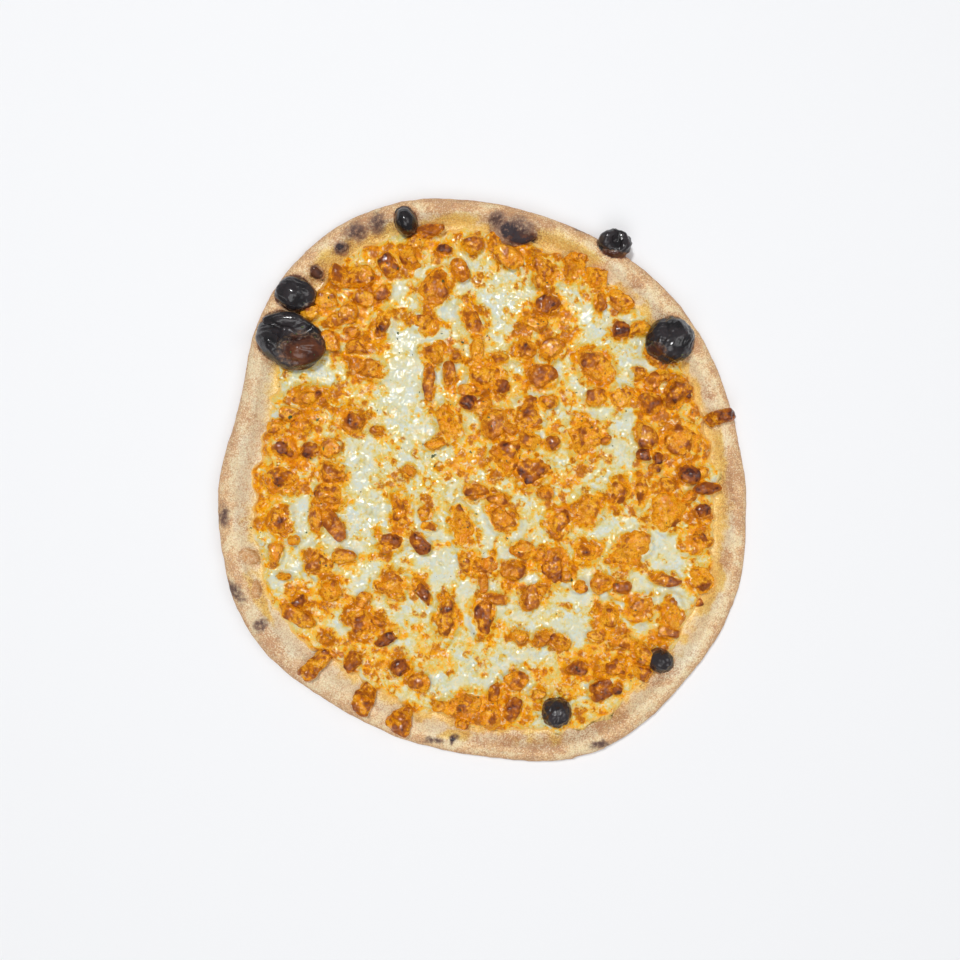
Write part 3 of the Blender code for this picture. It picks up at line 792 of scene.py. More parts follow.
cheeseLook = {
    "rings": 172,  # triangles from the middle to the rim
    "level": 7.2,
    "waves": 0.8,
    "waveSize": 38,
    "bottom": 4.0,
    "bottomShare": 0.97,  # of its width above
    "climb": 5.5,  # how far the layer's edge may run up the rim
    "edgeWidth": 8,  # over which it thins out
    "edgeDepth": 0.6,  # below the rim's skin
    "thinnest": 0.7,
    "haloReach": 14,  # how far round the chicken the sauce may gather
    "scrapHalo": 1.8,  # how many times narrower all that is round a scrap
    "haloSauce": (0.8, 0.46),  # the least sauce at a piece of chicken, and round it
    # what each of these adds to the sauce
    "sauceShares": {"everywhere": 0.235, "areas": 0.4, "cream": -0.2, "edge": 0.14, "waves": 0.16,
                    "veins": 0.14, "threads": -0.4, "flecks": 0.2},
    "sauceRise": 0.6,
    "poolRise": 0.9,
    "collarRise": 3.2,  # round each piece of chicken
    "collarWidth": 2.8,
    "domeRise": 0.3,  # of a bubble's radius
    # bubbles in it: spacing, seed, smallest and largest radius, share that shows
    "blisters": ((15, 141, 2.6, 5.5, 0.55), (8, 144, 1.3, 2.9, 0.5), (5, 147, 0.8, 1.6, 0.35)),
    # pools and areas: x, y, length, width and, where it isn't 0, turn
    "whitePools": (
        (128, -47, 40, 24, -35), (-22, -45, 12, 14), (66, -107, 14, 13), (74, 114, 14, 16),
        (92, 22, 18, 12, -20), (-42, 98, 14, 12), (112, 79, 22, 13, 20), (85, 118, 14, 12),
        (44, 49, 11, 18), (42, 32, 11, 10), (85, 46, 26, 13), (104, 41, 14, 11), (70, 14, 14, 9),
        (-92, 28, 11, 14), (-78, -5, 12, 18), (-42, -28, 30, 16, -50), (-137, -65, 18, 15),
        (-91, -49, 14, 10), (-85, -75, 20, 22), (-25, -52, 11, 30, 10), (-14, -79, 15, 22),
        (10, -50, 26, 8), (24, -93, 20, 14, 20), (32, -70, 12, 9), (60, -73, 16, 9), (50, -108, 14, 14),
        (79, -111, 14, 9), (111, -65, 16, 12), (105, -31, 14, 11), (106, -101, 24, 11), (130, -86, 34, 8),
        (98, -87, 14, 8), (26, -127, 24, 9), (5, -146, 16, 12), (-40, -158, 28, 9, -15),
        (-14, 138, 12, 14), (-43, 146, 22, 15), (-134, -26, 10, 12), (-30, -66, 14, 20),
        (113, -76, 13, 18), (-130, -42, 20, 9, -20), (-17, -144, 12, 10), (-56, 76, 66, 25, 85),
        (-50, 104, 40, 13, -5), (-30, 101, 34, 10), (-13, 98, 22, 9, -10), (-60, 135, 14, 13),
        (-28, 118, 26, 11, -40), (-84, 8, 48, 17, 88), (-130, -24, 28, 13, 85), (-110, -45, 20, 9),
        (-70, -22, 12, 12), (-38, -36, 30, 18, -45), (-20, -10, 22, 13, -50), (2, -35, 30, 12, -75),
        (15, -51, 28, 11, -10), (26, -36, 14, 10, 40), (32, 58, 28, 6, 5), (25, -14, 8, 8),
        (133, -80, 14, 10), (87, -85, 8, 7), (70, -80, 20, 18), (-9, -101, 18, 7, 100),
        (-124, -71, 13, 11), (-146, -70, 9, 16), (-100, -105, 10, 8), (-20, 82, 7, 12, 20),
        (80, 112, 22, 10), (-122, 21, 15, 13),
    ),
    "creamPools": (
        (130, -52, 40, 27, -20), (90, -34, 40, 11), (70, -109, 18, 16), (110, -103, 20, 9),
        (-19, -112, 18, 14), (-4, -138, 30, 22), (-132, 72, 36, 18), (-49, 147, 22, 10, 25),
        (10, 128, 44, 40), (90, 104, 44, 22, 10), (95, 38, 30, 22), (82, -12, 34, 15),
        (98, 82, 22, 16, -30), (-88, -28, 34, 26), (-60, 55, 34, 20), (-42, 14, 36, 22),
        (-30, 45, 20, 20), (125, 6, 14, 12), (-105, 70, 12, 12), (-60, -64, 20, 14), (50, 152, 24, 10),
        (40, 165, 20, 10), (97, 148, 18, 30, 45), (112, 128, 12, 20, 45), (60, -45, 20, 14),
        (40, -120, 20, 10), (-60, -95, 24, 16), (-40, -60, 40, 14), (-75, -60, 16, 12), (140, 75, 12, 14),
        (-105, 160, 20, 8, 35), (60, -95, 16, 20), (-110, -95, 18, 12), (-140, -50, 12, 20),
        (45, 20, 14, 14),
    ),
    "sauceAreas": (
        (-92, 125, 50, 44), (-112, 50, 50, 34), (-140, 5, 22, 40), (-80, 92, 40, 26), (-105, 0, 22, 40),
        (-68, 156, 26, 22), (45, 118, 36, 34), (5, 72, 46, 20, -10), (25, 30, 50, 60), (75, 82, 32, 24),
        (132, 45, 46, 60), (135, 0, 44, 50), (70, 28, 26, 24), (112, -5, 40, 30), (60, -22, 44, 24),
        (70, 150, 24, 14), (15, -28, 22, 20), (-60, -25, 22, 30), (-118, -60, 40, 26, -30),
        (-80, -102, 26, 20), (0, -160, 60, 22), (-18, -95, 18, 36), (95, -95, 44, 30),
        (110, -118, 34, 20), (35, -70, 46, 26), (-100, -80, 26, 22), (70, -130, 50, 22, 20),
        (150, -72, 20, 20), (150, -10, 16, 50), (-55, -70, 34, 20), (-120, -100, 26, 16, -30),
        (-70, -125, 30, 16, -20), (18, 160, 34, 18), (-158, 25, 20, 60), (-156, -12, 16, 34),
        (-115, 130, 26, 46, -20), (-78, 158, 34, 14, 30), (-20, 166, 60, 12), (50, 100, 40, 40),
        (150, 30, 26, 90), (155, -35, 16, 34), (100, -130, 60, 22, 25), (20, -160, 60, 24),
        (70, -142, 44, 20, 20), (-8, 22, 30, 28, 30), (-18, 9, 26, 13), (31, 0, 20, 24), (60, 1, 24, 13),
        (-75, 66, 20, 15), (-118, 8, 24, 26), (-113, -91, 30, 15), (-80, -130, 24, 14),
        (-38, -122, 22, 28, 30), (5, -110, 12, 24), (46, -137, 30, 14, -20), (70, -154, 20, 10, 10),
        (125, -115, 32, 16, 40), (130, -28, 14, 30), (148, -2, 20, 20), (-105, -112, 40, 14, -40),
        (-130, -85, 30, 24), (34, 62, 20, 20), (84, 68, 20, 18), (60, 60, 14, 26), (60, -149, 42, 16, 10),
        (-55, -108, 32, 14), (9, -107, 14, 24), (46, 96, 18, 42), (-76, 68, 24, 15), (-72, 142, 26, 14),
        (-72, 115, 18, 18), (-24, 62, 12, 12), (-114, 24, 20, 22), (-146, 10, 20, 26),
    ),
    "colours": {
        # how much sauce, and the colour there
        "cheeseToSauce": (
            (0.0, (0.62, 0.68, 0.63)), (0.10, (0.65, 0.67, 0.53)), (0.24, (0.71, 0.66, 0.39)),
            (0.38, (0.70, 0.56, 0.16)), (0.53, (0.83, 0.50, 0.06)), (0.68, (0.90, 0.41, 0.006)),
            (0.86, (0.83, 0.30, 0.001)), (1.0, (0.68, 0.205, 0.001)),
        ),
        "oil": (0.96, 0.86, 0.40),
        # cream spots: partly curds of cheese, partly painted glints
        "curdAndGlint": (0.84, 0.70, 0.41),
        # painted shade: darkens random small spots as if shade lay in hollows
        "hollow": (0.86, 0.66, 0.40),
        "deepSauce": (0.50, 0.155, 0.002),
        "fleck": (0.72, 0.64, 0.32),
        "toasted": (0.42, 0.125, 0.008),
        "thinEdge": (0.80, 0.53, 0.17),
    },
}


def hexagonSheet(rings):
    # an even sheet of triangles, six-sided, as directions and shares of the way out
    shape = bmesh.new()
    corner = Matrix.Rotation(math.radians(30), 4, "Z")
    bmesh.ops.create_circle(shape, segments=6, radius=1, cap_ends=True, cap_tris=True, matrix=corner)
    bmesh.ops.subdivide_edges(shape, edges=shape.edges, cuts=rings - 1, use_grid_fill=True)
    return toMesh("cheese", shape)


def surfaceOf(*meshes):
    # one search tree over several meshes
    shape = toShape(*meshes)
    tree = BVHTree.FromBMesh(shape)
    shape.free()
    return tree


def awayFrom(tree, points, limit):
    # how far each point is from a surface, in mm, up to a limit
    found = [tree.find_nearest(point, limit * mm)[3] for point in points * mm]
    return np.array([limit if distance is None else distance / mm for distance in found])


def meltedSheet(look):
    # the sheet made round, and laid from wall to wall over the floor and up the rim
    mesh = hexagonSheet(look["rings"])
    flat = pointsOf(mesh) * mm
    angles, radii = polar(flat)
    sector = angles % (math.pi / 3) - math.pi / 6
    ring = radii * np.cos(sector) / math.cos(math.pi / 6)
    side = (np.tan(sector) / math.tan(math.pi / 6) + 1) / 2
    angles = angles + (side - 0.5) * math.pi / 3 - sector
    around = np.column_stack([np.cos(angles), np.sin(angles), 0 * angles])
    climb = look["climb"] * (0.45 + 0.7 * waves(around * 190, 24, 5) + 0.5 * waves(around * 190, 9, 6))
    edge = footAt(angles) + climb
    radii = ring * edge
    points = around * radii[:, None]
    floor = rimTopAt(angles, radii)
    level = look["level"] + look["waves"] * waves(points, look["waveSize"], 9)
    film = np.clip((edge - radii) / look["edgeWidth"], 0, 1)
    film = film * (2 - film)
    sunk = look["edgeDepth"]
    points[:, 2] = floor - sunk + (np.maximum(level - floor, look["thinnest"]) + sunk) * film
    return mesh, points, film


def outsideOf(plan, rows, limit):
    # how far each place is from the nearest of some ovals, 0 inside
    nearest = np.full(len(plan), float(limit))
    for x, y, length, width, turn, dark in rows:
        past = (ovalShare(plan, x, y, length, width, turn) - 1) * (length + width) / 4
        nearest = np.minimum(nearest, np.clip(past, 0, None))
    return nearest


def blisters(points, size, seed, smallest, largest, share):
    # cheese that bubbled up: how far each place is from a bubble's middle, in its radii, whether that
    # bubble shows, and a random value of it
    away, chance, other = scattered(points, size, seed)
    radii = (smallest + (largest - smallest) * other**1.5) * (1 + 0.5 * waves(points, 3.5, seed + 1))
    return away / radii, chance > 1 - share, other


def sauceOver(points, plan, near, look):
    # how much sauce shows, 0 to 1.2, and how far a place is a smooth white pool
    warp = np.column_stack([roughWaves(points, 16, 101, 4), roughWaves(points, 16, 111, 4)])
    white, cream, areas = (patches(plan + 4.5 * warp, look[name], 0.5)
                           for name in ("whitePools", "creamPools", "sauceAreas"))
    white *= smooth(roughWaves(points, 9, 137), -0.75, -0.2)
    uneven = near + 3 * roughWaves(points, 10, 121, 3)
    halo = 1 - smooth(uneven, 0, 4)
    angles, radii = polar(plan)
    edge = 1 - smooth(footAt(angles) - radii, 0, 9)
    shares, (closeBy, around) = look["sauceShares"], look["haloSauce"]
    sauce = shares["everywhere"] + shares["areas"] * areas + shares["edge"] * edge
    sauce += shares["cream"] * cream * (1 - 0.5 * areas)
    sauce = np.maximum(sauce, np.maximum(closeBy * halo, around * (1 - smooth(uneven, 3, 10))))
    sauce += shares["waves"] * waves(points, 24, 133) + shares["flecks"] * roughWaves(points, 10, 135, 2)
    veins = np.exp(-((waves(points + 3 * np.column_stack([warp, 0 * near]), 11, 131) / 0.16) ** 2))
    sauce += shares["veins"] * veins * (1 - white)
    # white threads that run across it
    threads = smooth(ridges(points, -45, 9, 20, 171), 0.7, 0.95)
    sauce += shares["threads"] * threads * smooth(roughWaves(points, 26, 175, 2), 0, 0.4)
    calm = white * (1 - 0.75 * smooth(halo, 0.55, 1))
    return sauce * (1 - calm) + (0.06 + 0.1 * waves(points, 8, 139)) * calm, calm


def meltedCheese(lumps):
    look = cheeseLook
    mesh, points, film = meltedSheet(look)
    plan = points[:, :2]
    near = np.minimum(awayFrom(surfaceOf(*lumps), points, look["haloReach"]),
                      look["scrapHalo"] * outsideOf(plan, scrapLook["places"], look["haloReach"]))
    sauce, calm = sauceOver(points, plan, near, look)
    rise = look["sauceRise"] * smooth(sauce, 0.2, 0.9) + look["poolRise"] * calm
    toast = 0.45 * smooth(roughWaves(points, 7, 161), 0.35, 1.0) * smooth(sauce, 0.45, 0.8)
    for size, seed, smallest, largest, share in look["blisters"]:
        away, shown, other = blisters(points, size, seed, smallest, largest, share)
        shown = shown * (1 - 0.6 * calm)
        ring = shown * np.exp(-(((away - 0.85) / 0.32) ** 2))
        dome = shown * np.clip(1 - away**2 / 1.3, 0, 1)
        browned = shown * (other > 0.55) * (1 - smooth(away, 0.3, 0.9))
        sauce += (0.42 * ring - 0.15 * dome) * (1 - smooth(sauce, 0.6, 0.85)) + 0.42 * browned
        brown = (0.55 * ring + 0.75 * browned) * smooth(sauce, 0.3, 0.55) * (1 if largest > 2 else 0.35)
        toast = np.maximum(toast, brown)
        rise += look["domeRise"] * largest * dome
    rise += 0.5 * waves(points, 11, 151) * (1 - 0.5 * calm)
    rise += 0.5 * roughWaves(points, 6.5, 152, 3) * (1 - 0.7 * calm)
    rise += look["collarRise"] * np.exp(-((near / look["collarWidth"]) ** 2))
    points[:, 2] += film * rise
    setPoints(mesh, points)
    for name, values in (("sauce", sauce), ("white", calm), ("toast", toast), ("film", film)):
        paint(mesh, name, values)
    # walls and a flat bottom close it
    shape = toShape(mesh)
    rim = [edge for edge in shape.edges if edge.is_boundary]
    for corner in bmesh.ops.extrude_edge_only(shape, edges=rim)["geom"]:
        if isinstance(corner, bmesh.types.BMVert):
            corner.co.z = look["bottom"] * mm
            corner.co.xy *= look["bottomShare"]
    closed(shape)
    return toMesh("cheese", shape)


def cheeseMaterial():
    material, tree, shader = newMaterial("meltedCheese", Subsurface_Weight=0.1, Subsurface_Scale=0.002,
                                         Subsurface_Radius=(1.0, 0.6, 0.25), Specular_IOR_Level=0.5)
    tones = cheeseLook["colours"]
    fine, middle, broad = grain(tree, 1.2, 2, 0.5), grain(tree, 3.6, 2, 0.5), grain(tree, 11, 3, 0.55)
    flecks, hollows = grain(tree, 2.4, 4, 0.65), grain(tree, 2.6, 4, 0.6, 0.6)
    white = painted(tree, "white")
    busy = remap(white, 0, 1, 1, 0.4)
    ragged = plus(remap(grain(tree, 6, 5, 0.62), 0.3, 0.7, -0.18, 0.18), remap(fine, 0.3, 0.7, -0.1, 0.1))
    sauced = plus(painted(tree, "sauce"), times(ragged, busy))
    oily = times(remap(grain(tree, 7, 3, 0.6), 0.45, 0.64, 0, 0.7), busy)
    deep = times(remap(grain(tree, 5, 4, 0.6, 0.5), 0.46, 0.62, 0, 0.85), remap(sauced, 0.5, 0.75))
    tinted = times(remap(flecks, 0.5, 0.64, 0, 0.55), remap(sauced, 0.35, 0.15))
    brown = times(painted(tree, "toast"), remap(flecks, 0.38, 0.6, 0.25, 1.1))
    edged = plus(painted(tree, "film"), remap(middle, 0.3, 0.7, -0.15, 0.15))
    colour = layered(rampOf(sauced, *tones["cheeseToSauce"]),
                     (oily, tones["oil"], "MULTIPLY"),
                     # cream spots: partly curds of cheese, partly painted glints
                     (remap(grain(tree, 3.2, 4, 0.6, 0.6), 0.54, 0.66, 0, 0.8), tones["curdAndGlint"]),
                     # painted shade: random spots multiplied darker, standing for shade in small hollows
                     (remap(hollows, 0.46, 0.34, 0, 0.4), tones["hollow"], "MULTIPLY"),
                     (deep, tones["deepSauce"]),
                     (tinted, tones["fleck"]),
                     (remap(brown, 0.1, 0.75, 0, 0.85), tones["toasted"]),
                     (remap(edged, 0.75, 0.25, 0, 0.85), tones["thinEdge"]))
    gloss = plus(remap(broad, 0.3, 0.7, 0.06, 0.14), remap(white, 0, 1, 0, 0.12))
    waved = times(grain(tree, 3.4, 1, 0.4, 1.0), busy)
    normal = dress(shader, colour, gloss, (waved, 0.75), (fine, 0.05))
    # the sauce shines less than the cheese
    sauce = addNode(tree, "BsdfPrincipled", Base_Color=colour, Roughness=gloss, Specular_IOR_Level=0.22,
                    Normal=normal)
    both = addNode(tree, "MixShader", Fac=remap(sauced, 0.45, 0.65))
    feed(both.inputs[1], shader.outputs[0])
    feed(both.inputs[2], sauce.outputs[0])
    feed(tree.nodes["Material Output"].inputs["Surface"], both.outputs[0])
    return material


# Pieces of chicken, each grown from its solid, and the smaller scraps

meatLook = {
    "cutsAt": (0.42, 0.85),  # how far out the flat cuts lie, of a piece's half
    "cutTilt": 0.55,  # how much they may face up
    "cutDepth": 0.85,  # of what lies beyond them
    "mostGrown": 1.08,
    "lumpSizes": (7, 3.2),
    "bubblesShown": 0.65,
    "fibreSize": (1.8, 9),
    "colours": {
        "sauce": (0.78, 0.235, 0.001),
        "brightSauce": (0.95, 0.41, 0.003),
        "yellow": (0.92, 0.49, 0.03),
        "red": (0.60, 0.165, 0.002),
        "foot": (0.92, 0.40, 0.004),
        # pale spots: partly cheese on the meat, partly painted glints
        "paleSpotAndGlint": (0.88, 0.62, 0.32),
        "darkFleck": (0.55, 0.15, 0.002),
        "lightFleck": (0.95, 0.55, 0.08),
        "searedAndShaded": (0.42, 0.11, 0.006),
        "brown": (0.24, 0.055, 0.012),
        "burnt": (0.06, 0.018, 0.015),
    },
}
chickenLook = {
    "cuts": 7,  # in each edge of the solid
    "smoothing": 3,
    "facets": 9,
    "skirt": 0.18,
    "lumps": 1.3,
    "bubbles": 0.42,
    "bubbleSize": 3.4,
    "fibres": 0.12,
    "darkTop": (7, 5),  # length and width of a burnt spot
    "darkTops": (
        (165, 45), (169, 42), (171, 47), (175, 46), (-72, 107), (-66, 155), (-57, 153), (28, 92),
        (45, 74), (-38, 92), (-24, 78), (31, 47), (16, 23), (26, 23), (26, 5), (30, -2), (12, -38),
        (-15, -19), (-60, -38), (-142, 22), (-115, 62), (-94, 42), (-78, 44), (-104, 10), (-143, -1),
        (-144, -17), (-143, -29), (-107, -31), (-122, -52), (70, 33), (112, 53), (137, 37), (145, 24),
        (135, -31), (110, -12), (98, -14), (60, -22), (72, -50), (92, -61), (128, -71), (155, -75),
        (-87, -100), (-26, -91), (-24, -108), (3, -104), (-2, -93), (24, -158), (-16, -160), (7, -168),
    ),
}
scrapLook = {
    "sunk": 0.3,  # share of a scrap's height that stays in the cheese
    "offCheese": 8,  # the level of a scrap that lies beyond the cheese
    "height": 3.2,
    "heightShare": 0.2,  # of its width, on top of that
    "boxiness": 2.6,  # 2 for a plain ball
    "facets": 5,
    "darkFacets": 3,
    "skirt": 0.15,
    "lumps": 0.7,
    "bubbles": 0.34,
    "bubbleSize": 3,
    "fibres": 0.1,
    # x, y, length, width, turn, how dark
    "places": (
        (-102, 144, 18, 11, -42, 0.2), (-86, 143, 17, 13, 20, 0.1), (-110, 128, 15, 12, 10, 0),
        (-107, 98, 16, 12, -20, 0), (-67, 152, 16, 11, -60, 0.6), (-16, 148, 15, 10, -65, 0.1),
        (-38, 69, 24, 8, 92, 0.4), (-24, 75, 15, 8, 95, 0.5), (-4, 92, 17, 7, 88, 0),
        (-7, 166, 14, 12, 30, 0.2), (18, 157, 21, 12, -35, 0), (46, 124, 16, 12, 0, 0.7),
        (35, 110, 18, 12, 10, 0), (50, 92, 16, 14, 0, 0.1), (83, 126, 13, 9, 80, 0.4),
        (97, 126, 18, 11, -32, 0.1), (97, 105, 11, 11, 0, 0.8), (110, 107, 16, 9, 0, 0),
        (122, 87, 19, 10, -50, 0.3), (117, 54, 15, 13, 0, 0.5), (80, 58, 13, 11, 0, 0),
        (114, 32, 18, 13, -60, 0.3), (114, 18, 10, 8, 0, 1), (123, 15, 7, 7, 0, 0.9),
        (145, 4, 14, 11, -30, 0.9), (154, 6, 9, 7, 0, 0), (158, -6, 18, 8, 5, 0.6),
        (155, -22, 10, 9, 0, 1), (129, -4, 10, 10, 0, 0.2), (33, 28, 14, 13, 0, 0),
        (49, 26, 10, 9, 0, 0.6), (46, 55, 12, 8, 0, 0.2), (86, 28, 7, 6, 0, 0.3),
        (8, 40, 20, 15, 60, 0.2), (-5, -8, 16, 9, -10, 0.3), (11, -13, 15, 8, -20, 0.1),
        (44, -9, 10, 8, 0, 0.1), (28, -49, 16, 11, -20, 0.1), (40, -53, 9, 9, 0, 0),
        (-13, -58, 16, 7, 110, 0.2), (-44, -44, 16, 11, -50, 0.7), (-41, -24, 10, 8, 0, 0),
        (-38, -33, 10, 6, 0, 0), (-34, 25, 14, 6, 20, 0), (-52, 6, 8, 8, 0, 0.1),
        (-135, 46, 15, 9, -20, 0.1), (-128, 37, 14, 10, 20, 0), (-146, 37, 12, 10, 0, 0),
        (-122, 21, 12, 10, 0, 0.6), (-107, 23, 13, 11, 30, 0), (-108, 6, 21, 12, 10, 0.2),
        (-118, -28, 17, 9, 100, 0.1), (-106, -31, 23, 10, -55, 0.3), (-133, -42, 8, 7, 0, 0),
        (-146, -52, 14, 9, 90, 0), (-98, -54, 16, 9, 0, 0), (-140, -68, 9, 4, 0, 0),
        (-107, -78, 14, 12, 30, 0), (-129, -85, 9, 8, 0, 0.9), (-131, -96, 23, 9, -28, 0.1),
        (-112, -112, 8, 6, 0, 0), (-92, -128, 15, 11, 100, 0.6), (10, -84, 14, 7, -10, 0.1),
        (0, -73, 12, 6, 90, 0), (21, -63, 16, 12, 0, 0.2), (34, -83, 18, 12, 60, 0.3),
        (42, -76, 10, 8, 0, 0.2), (42, -111, 14, 10, 30, 0), (26, -110, 11, 8, 0, 0.1),
        (54, -114, 14, 11, 0, 0.1), (-57, -132, 13, 11, 0, 1), (-68, -112, 16, 7, 30, 0.8),
        (-43, -79, 20, 6, -50, 0.7), (8, -152, 14, 9, 70, 0.2), (22, -142, 17, 11, 20, 0.1),
        (21, -161, 15, 10, 70, 0.6), (-15, -171, 9, 8, 0, 0.2), (-45, -143, 14, 11, 0, 0.1),
        (128, -70, 20, 9, -3, 0.4), (98, -75, 12, 8, -10, 0.5), (84, -73, 15, 12, 20, 0.1),
        (68, -75, 10, 8, 0, 0), (131, -107, 14, 9, 0, 0.2), (98, -114, 18, 10, -10, 0.1),
        (112, -122, 17, 11, -40, 0.1), (66, -132, 14, 9, 0, 0.6), (83, -148, 17, 12, 30, 0.5),
        (94, -147, 8, 6, 0, 0.9), (113, -135, 13, 10, -30, 0.1), (-38, 176, 20, 8, 15, 0.6),
        (-27, 162, 10, 8, 0, 0.8), (12, 85, 12, 8, 0, 0.1), (13, 66, 10, 8, 0, 0.6),
        (-8, 64, 16, 8, 0, 0.1), (-19, 86, 9, 6, 0, 0), (70, 158, 10, 6, 0, 0.2), (-10, 55, 12, 9, 0, 1),
        (143, 62, 8, 8, 0, 1), (153, -87, 12, 5, 20, 0.3), (168, -78, 8, 5, 0, 0.2),
        (42, 73, 20, 14, -10, 0.4), (40, 140, 10, 8, 20, 0.1), (-122, 118, 12, 9, 30, 0.1),
        (-95, 118, 14, 11, 70, 0.2), (-84, 128, 13, 9, -20, 0.1), (-103, 112, 12, 9, 0, 0.2),
        (-70, 132, 12, 8, 40, 0.3), (-93, 105, 10, 8, 30, 0.1), (0, 52, 12, 9, 30, 0.1),
        (18, 36, 12, 9, 0, 0), (-75, 35, 8, 6, 0, 0.2), (120, 70, 12, 9, 60, 0.4),
        (110, 75, 9, 8, 0, 0.1), (126, 74, 9, 8, 0, 0.1), (121, 8, 9, 7, 20, 0.2),
        (146, -12, 10, 7, 30, 0.2), (60, -68, 10, 8, 0, 0), (80, -110, 12, 8, 10, 0.1),
        (-85, -85, 12, 9, 40, 0.1), (-75, -100, 10, 8, 0, 0.2), (-30, -160, 10, 8, 0, 0.1),
        (38, -150, 10, 7, 10, 0.1), (-48, 168, 10, 8, 0, 0.2), (8, 168, 9, 14, 10, 0.3),
    ),
}


def boxed(ways, power):
    # directions on a ball moved to a ball with flatter sides
    return ways / (np.sum(np.abs(ways) ** power, axis=1) ** (1 / power))[:, None]


def cutFacets(points, middle, half, seed, count):
    # flat cuts at random, as on torn and diced meat
    chance = np.random.default_rng(seed)
    local = (points - middle) / half
    for _ in range(count):
        way = chance.normal(size=3)
        way[2] = abs(way[2]) * meatLook["cutTilt"]
        way /= np.linalg.norm(way)
        beyond = local @ way - chance.uniform(*meatLook["cutsAt"])
        local = local - np.clip(beyond, 0, None)[:, None] * way * meatLook["cutDepth"]
    return middle + local * half


def meatForm(mesh, number, look, facets, skirt):
    # cut, lumpy and covered with small bubbles of sauce
    points = pointsOf(mesh)
    low, high = points.min(axis=0), points.max(axis=0)
    middle = (low + high) / 2
    points = cutFacets(points, middle, (high - low) / 2, 300 + number, facets)
    grown = (high - low) / np.ptp(points, axis=0)
    points = middle + (points - middle) * np.minimum(grown, meatLook["mostGrown"])
    # its foot runs out into the sauce
    share = (points[:, 2] - low[2]) / (high[2] - low[2])
    points[:, :2] += (points[:, :2] - middle[:2]) * (skirt * (1 - smooth(share, 0.2, 0.75)))[:, None]
    setPoints(mesh, points)
    shift = points + number * 41
    away, chance, other = scattered(shift, look["bubbleSize"], 204, flat=False)
    large, small = meatLook["lumpSizes"]
    rise = look["lumps"] * (waves(shift, large, 201) + 0.5 * waves(shift, small, 202))
    dome = np.clip(1 - (away / look["bubbleSize"] / 0.62) ** 2, -0.4, 1)
    rise += look["bubbles"] * (chance > 1 - meatLook["bubblesShown"]) * dome
    rise += look["fibres"] * ridges(points, number * 67, *meatLook["fibreSize"], 203)
    points = points + normalsOf(mesh) * rise[:, None]
    setPoints(mesh, points)
    return points, normalsOf(mesh), shift


def paintMeat(mesh, points, normals, shift, dark, roast, onRim=False):
    # browned edges and tops, and painted shade darkening the hollow creases
    height = (points[:, 2] - points[:, 2].min()) / np.ptp(points[:, 2])
    stand = bulging(mesh, 6)
    stand /= np.percentile(np.abs(stand), 80)
    upper = smooth(normals[:, 2], 0.1, 0.8) if onRim else smooth(height, 0.4, 0.8)
    # convex edges are browned; hollows between the lumps are darkened too, as painted shade
    edgeSearAndCreaseShade = 0.4 * smooth(-stand, 0.5, 1.8) + 0.5 * smooth(stand, 0.4, 1.8)
    blotch = smooth(roughWaves(shift, 7, 206) + 0.5 * roast, 0.0, 0.8)
    paint(mesh, "searAndCreaseShade", np.clip((edgeSearAndCreaseShade + 0.5 * blotch + 0.1 * roast) * upper + dark, 0, 1.1))
    paint(mesh, "foot", 1 - smooth(height, 0.15, 0.55))


def chickenLump(node, number):
    look = chickenLook
    shape = toShape(node.data)
    bmesh.ops.remove_doubles(shape, verts=shape.verts, dist=0.01 * mm)
    bmesh.ops.subdivide_edges(shape, edges=shape.edges, cuts=look["cuts"], use_grid_fill=True)
    softened(shape, look["smoothing"])
    for face in shape.faces:
        face.smooth = True
    mesh = toMesh(node.name, shape)
    x, y = pointsOf(mesh).mean(axis=0)[:2]
    onRim = math.hypot(x, y) > footAt(math.atan2(y, x))
    facets, skirt = (0, 0) if onRim else (look["facets"], look["skirt"])
    points, normals, shift = meatForm(mesh, number, look, facets, skirt)
    plan = points[:, :2] + 1.5 * np.column_stack([waves(points, 4, 205), waves(points, 4, 207)])
    dark = patches(plan, [(x, y, *look["darkTop"], x * 7) for x, y in look["darkTops"]], 0.7)
    roast = 0.6 if onRim else hashed(np.array([[number, 3, 5]]), 208)[0, 0]
    paintMeat(mesh, points, normals, shift, 0.8 * dark * smooth(normals[:, 2], 0, 0.5), roast, onRim)
    return mesh


def scrapAt(cheese, number, x, y, length, width, turn, dark):
    # one scrap, set down in the cheese
    look = scrapLook
    mesh = newBall(4)
    ways = boxed(pointsOf(mesh) * mm, look["boxiness"])
    high = look["height"] + look["heightShare"] * min(length, width)
    hit = below(cheese, x, y)[0]
    floor = hit.z / mm if hit else look["offCheese"]
    plan = np.array((x, y)) + ways[:, :2] * np.array((length / 2, width / 2)) @ turned(turn)
    setPoints(mesh, np.column_stack([plan, floor + high * (ways[:, 2] / 2 + 0.5 - look["sunk"])]))
    facets = look["darkFacets"] if dark > 0.5 else look["facets"]
    points, normals, shift = meatForm(mesh, 100 + number, look, facets, look["skirt"])
    uneven = 0.35 + 0.65 * smooth(roughWaves(shift, 5, 209), -0.5, 0.3)
    paintMeat(mesh, points, normals, shift, 0.85 * dark * uneven * smooth(normals[:, 2], 0, 0.8), dark)
    return mesh


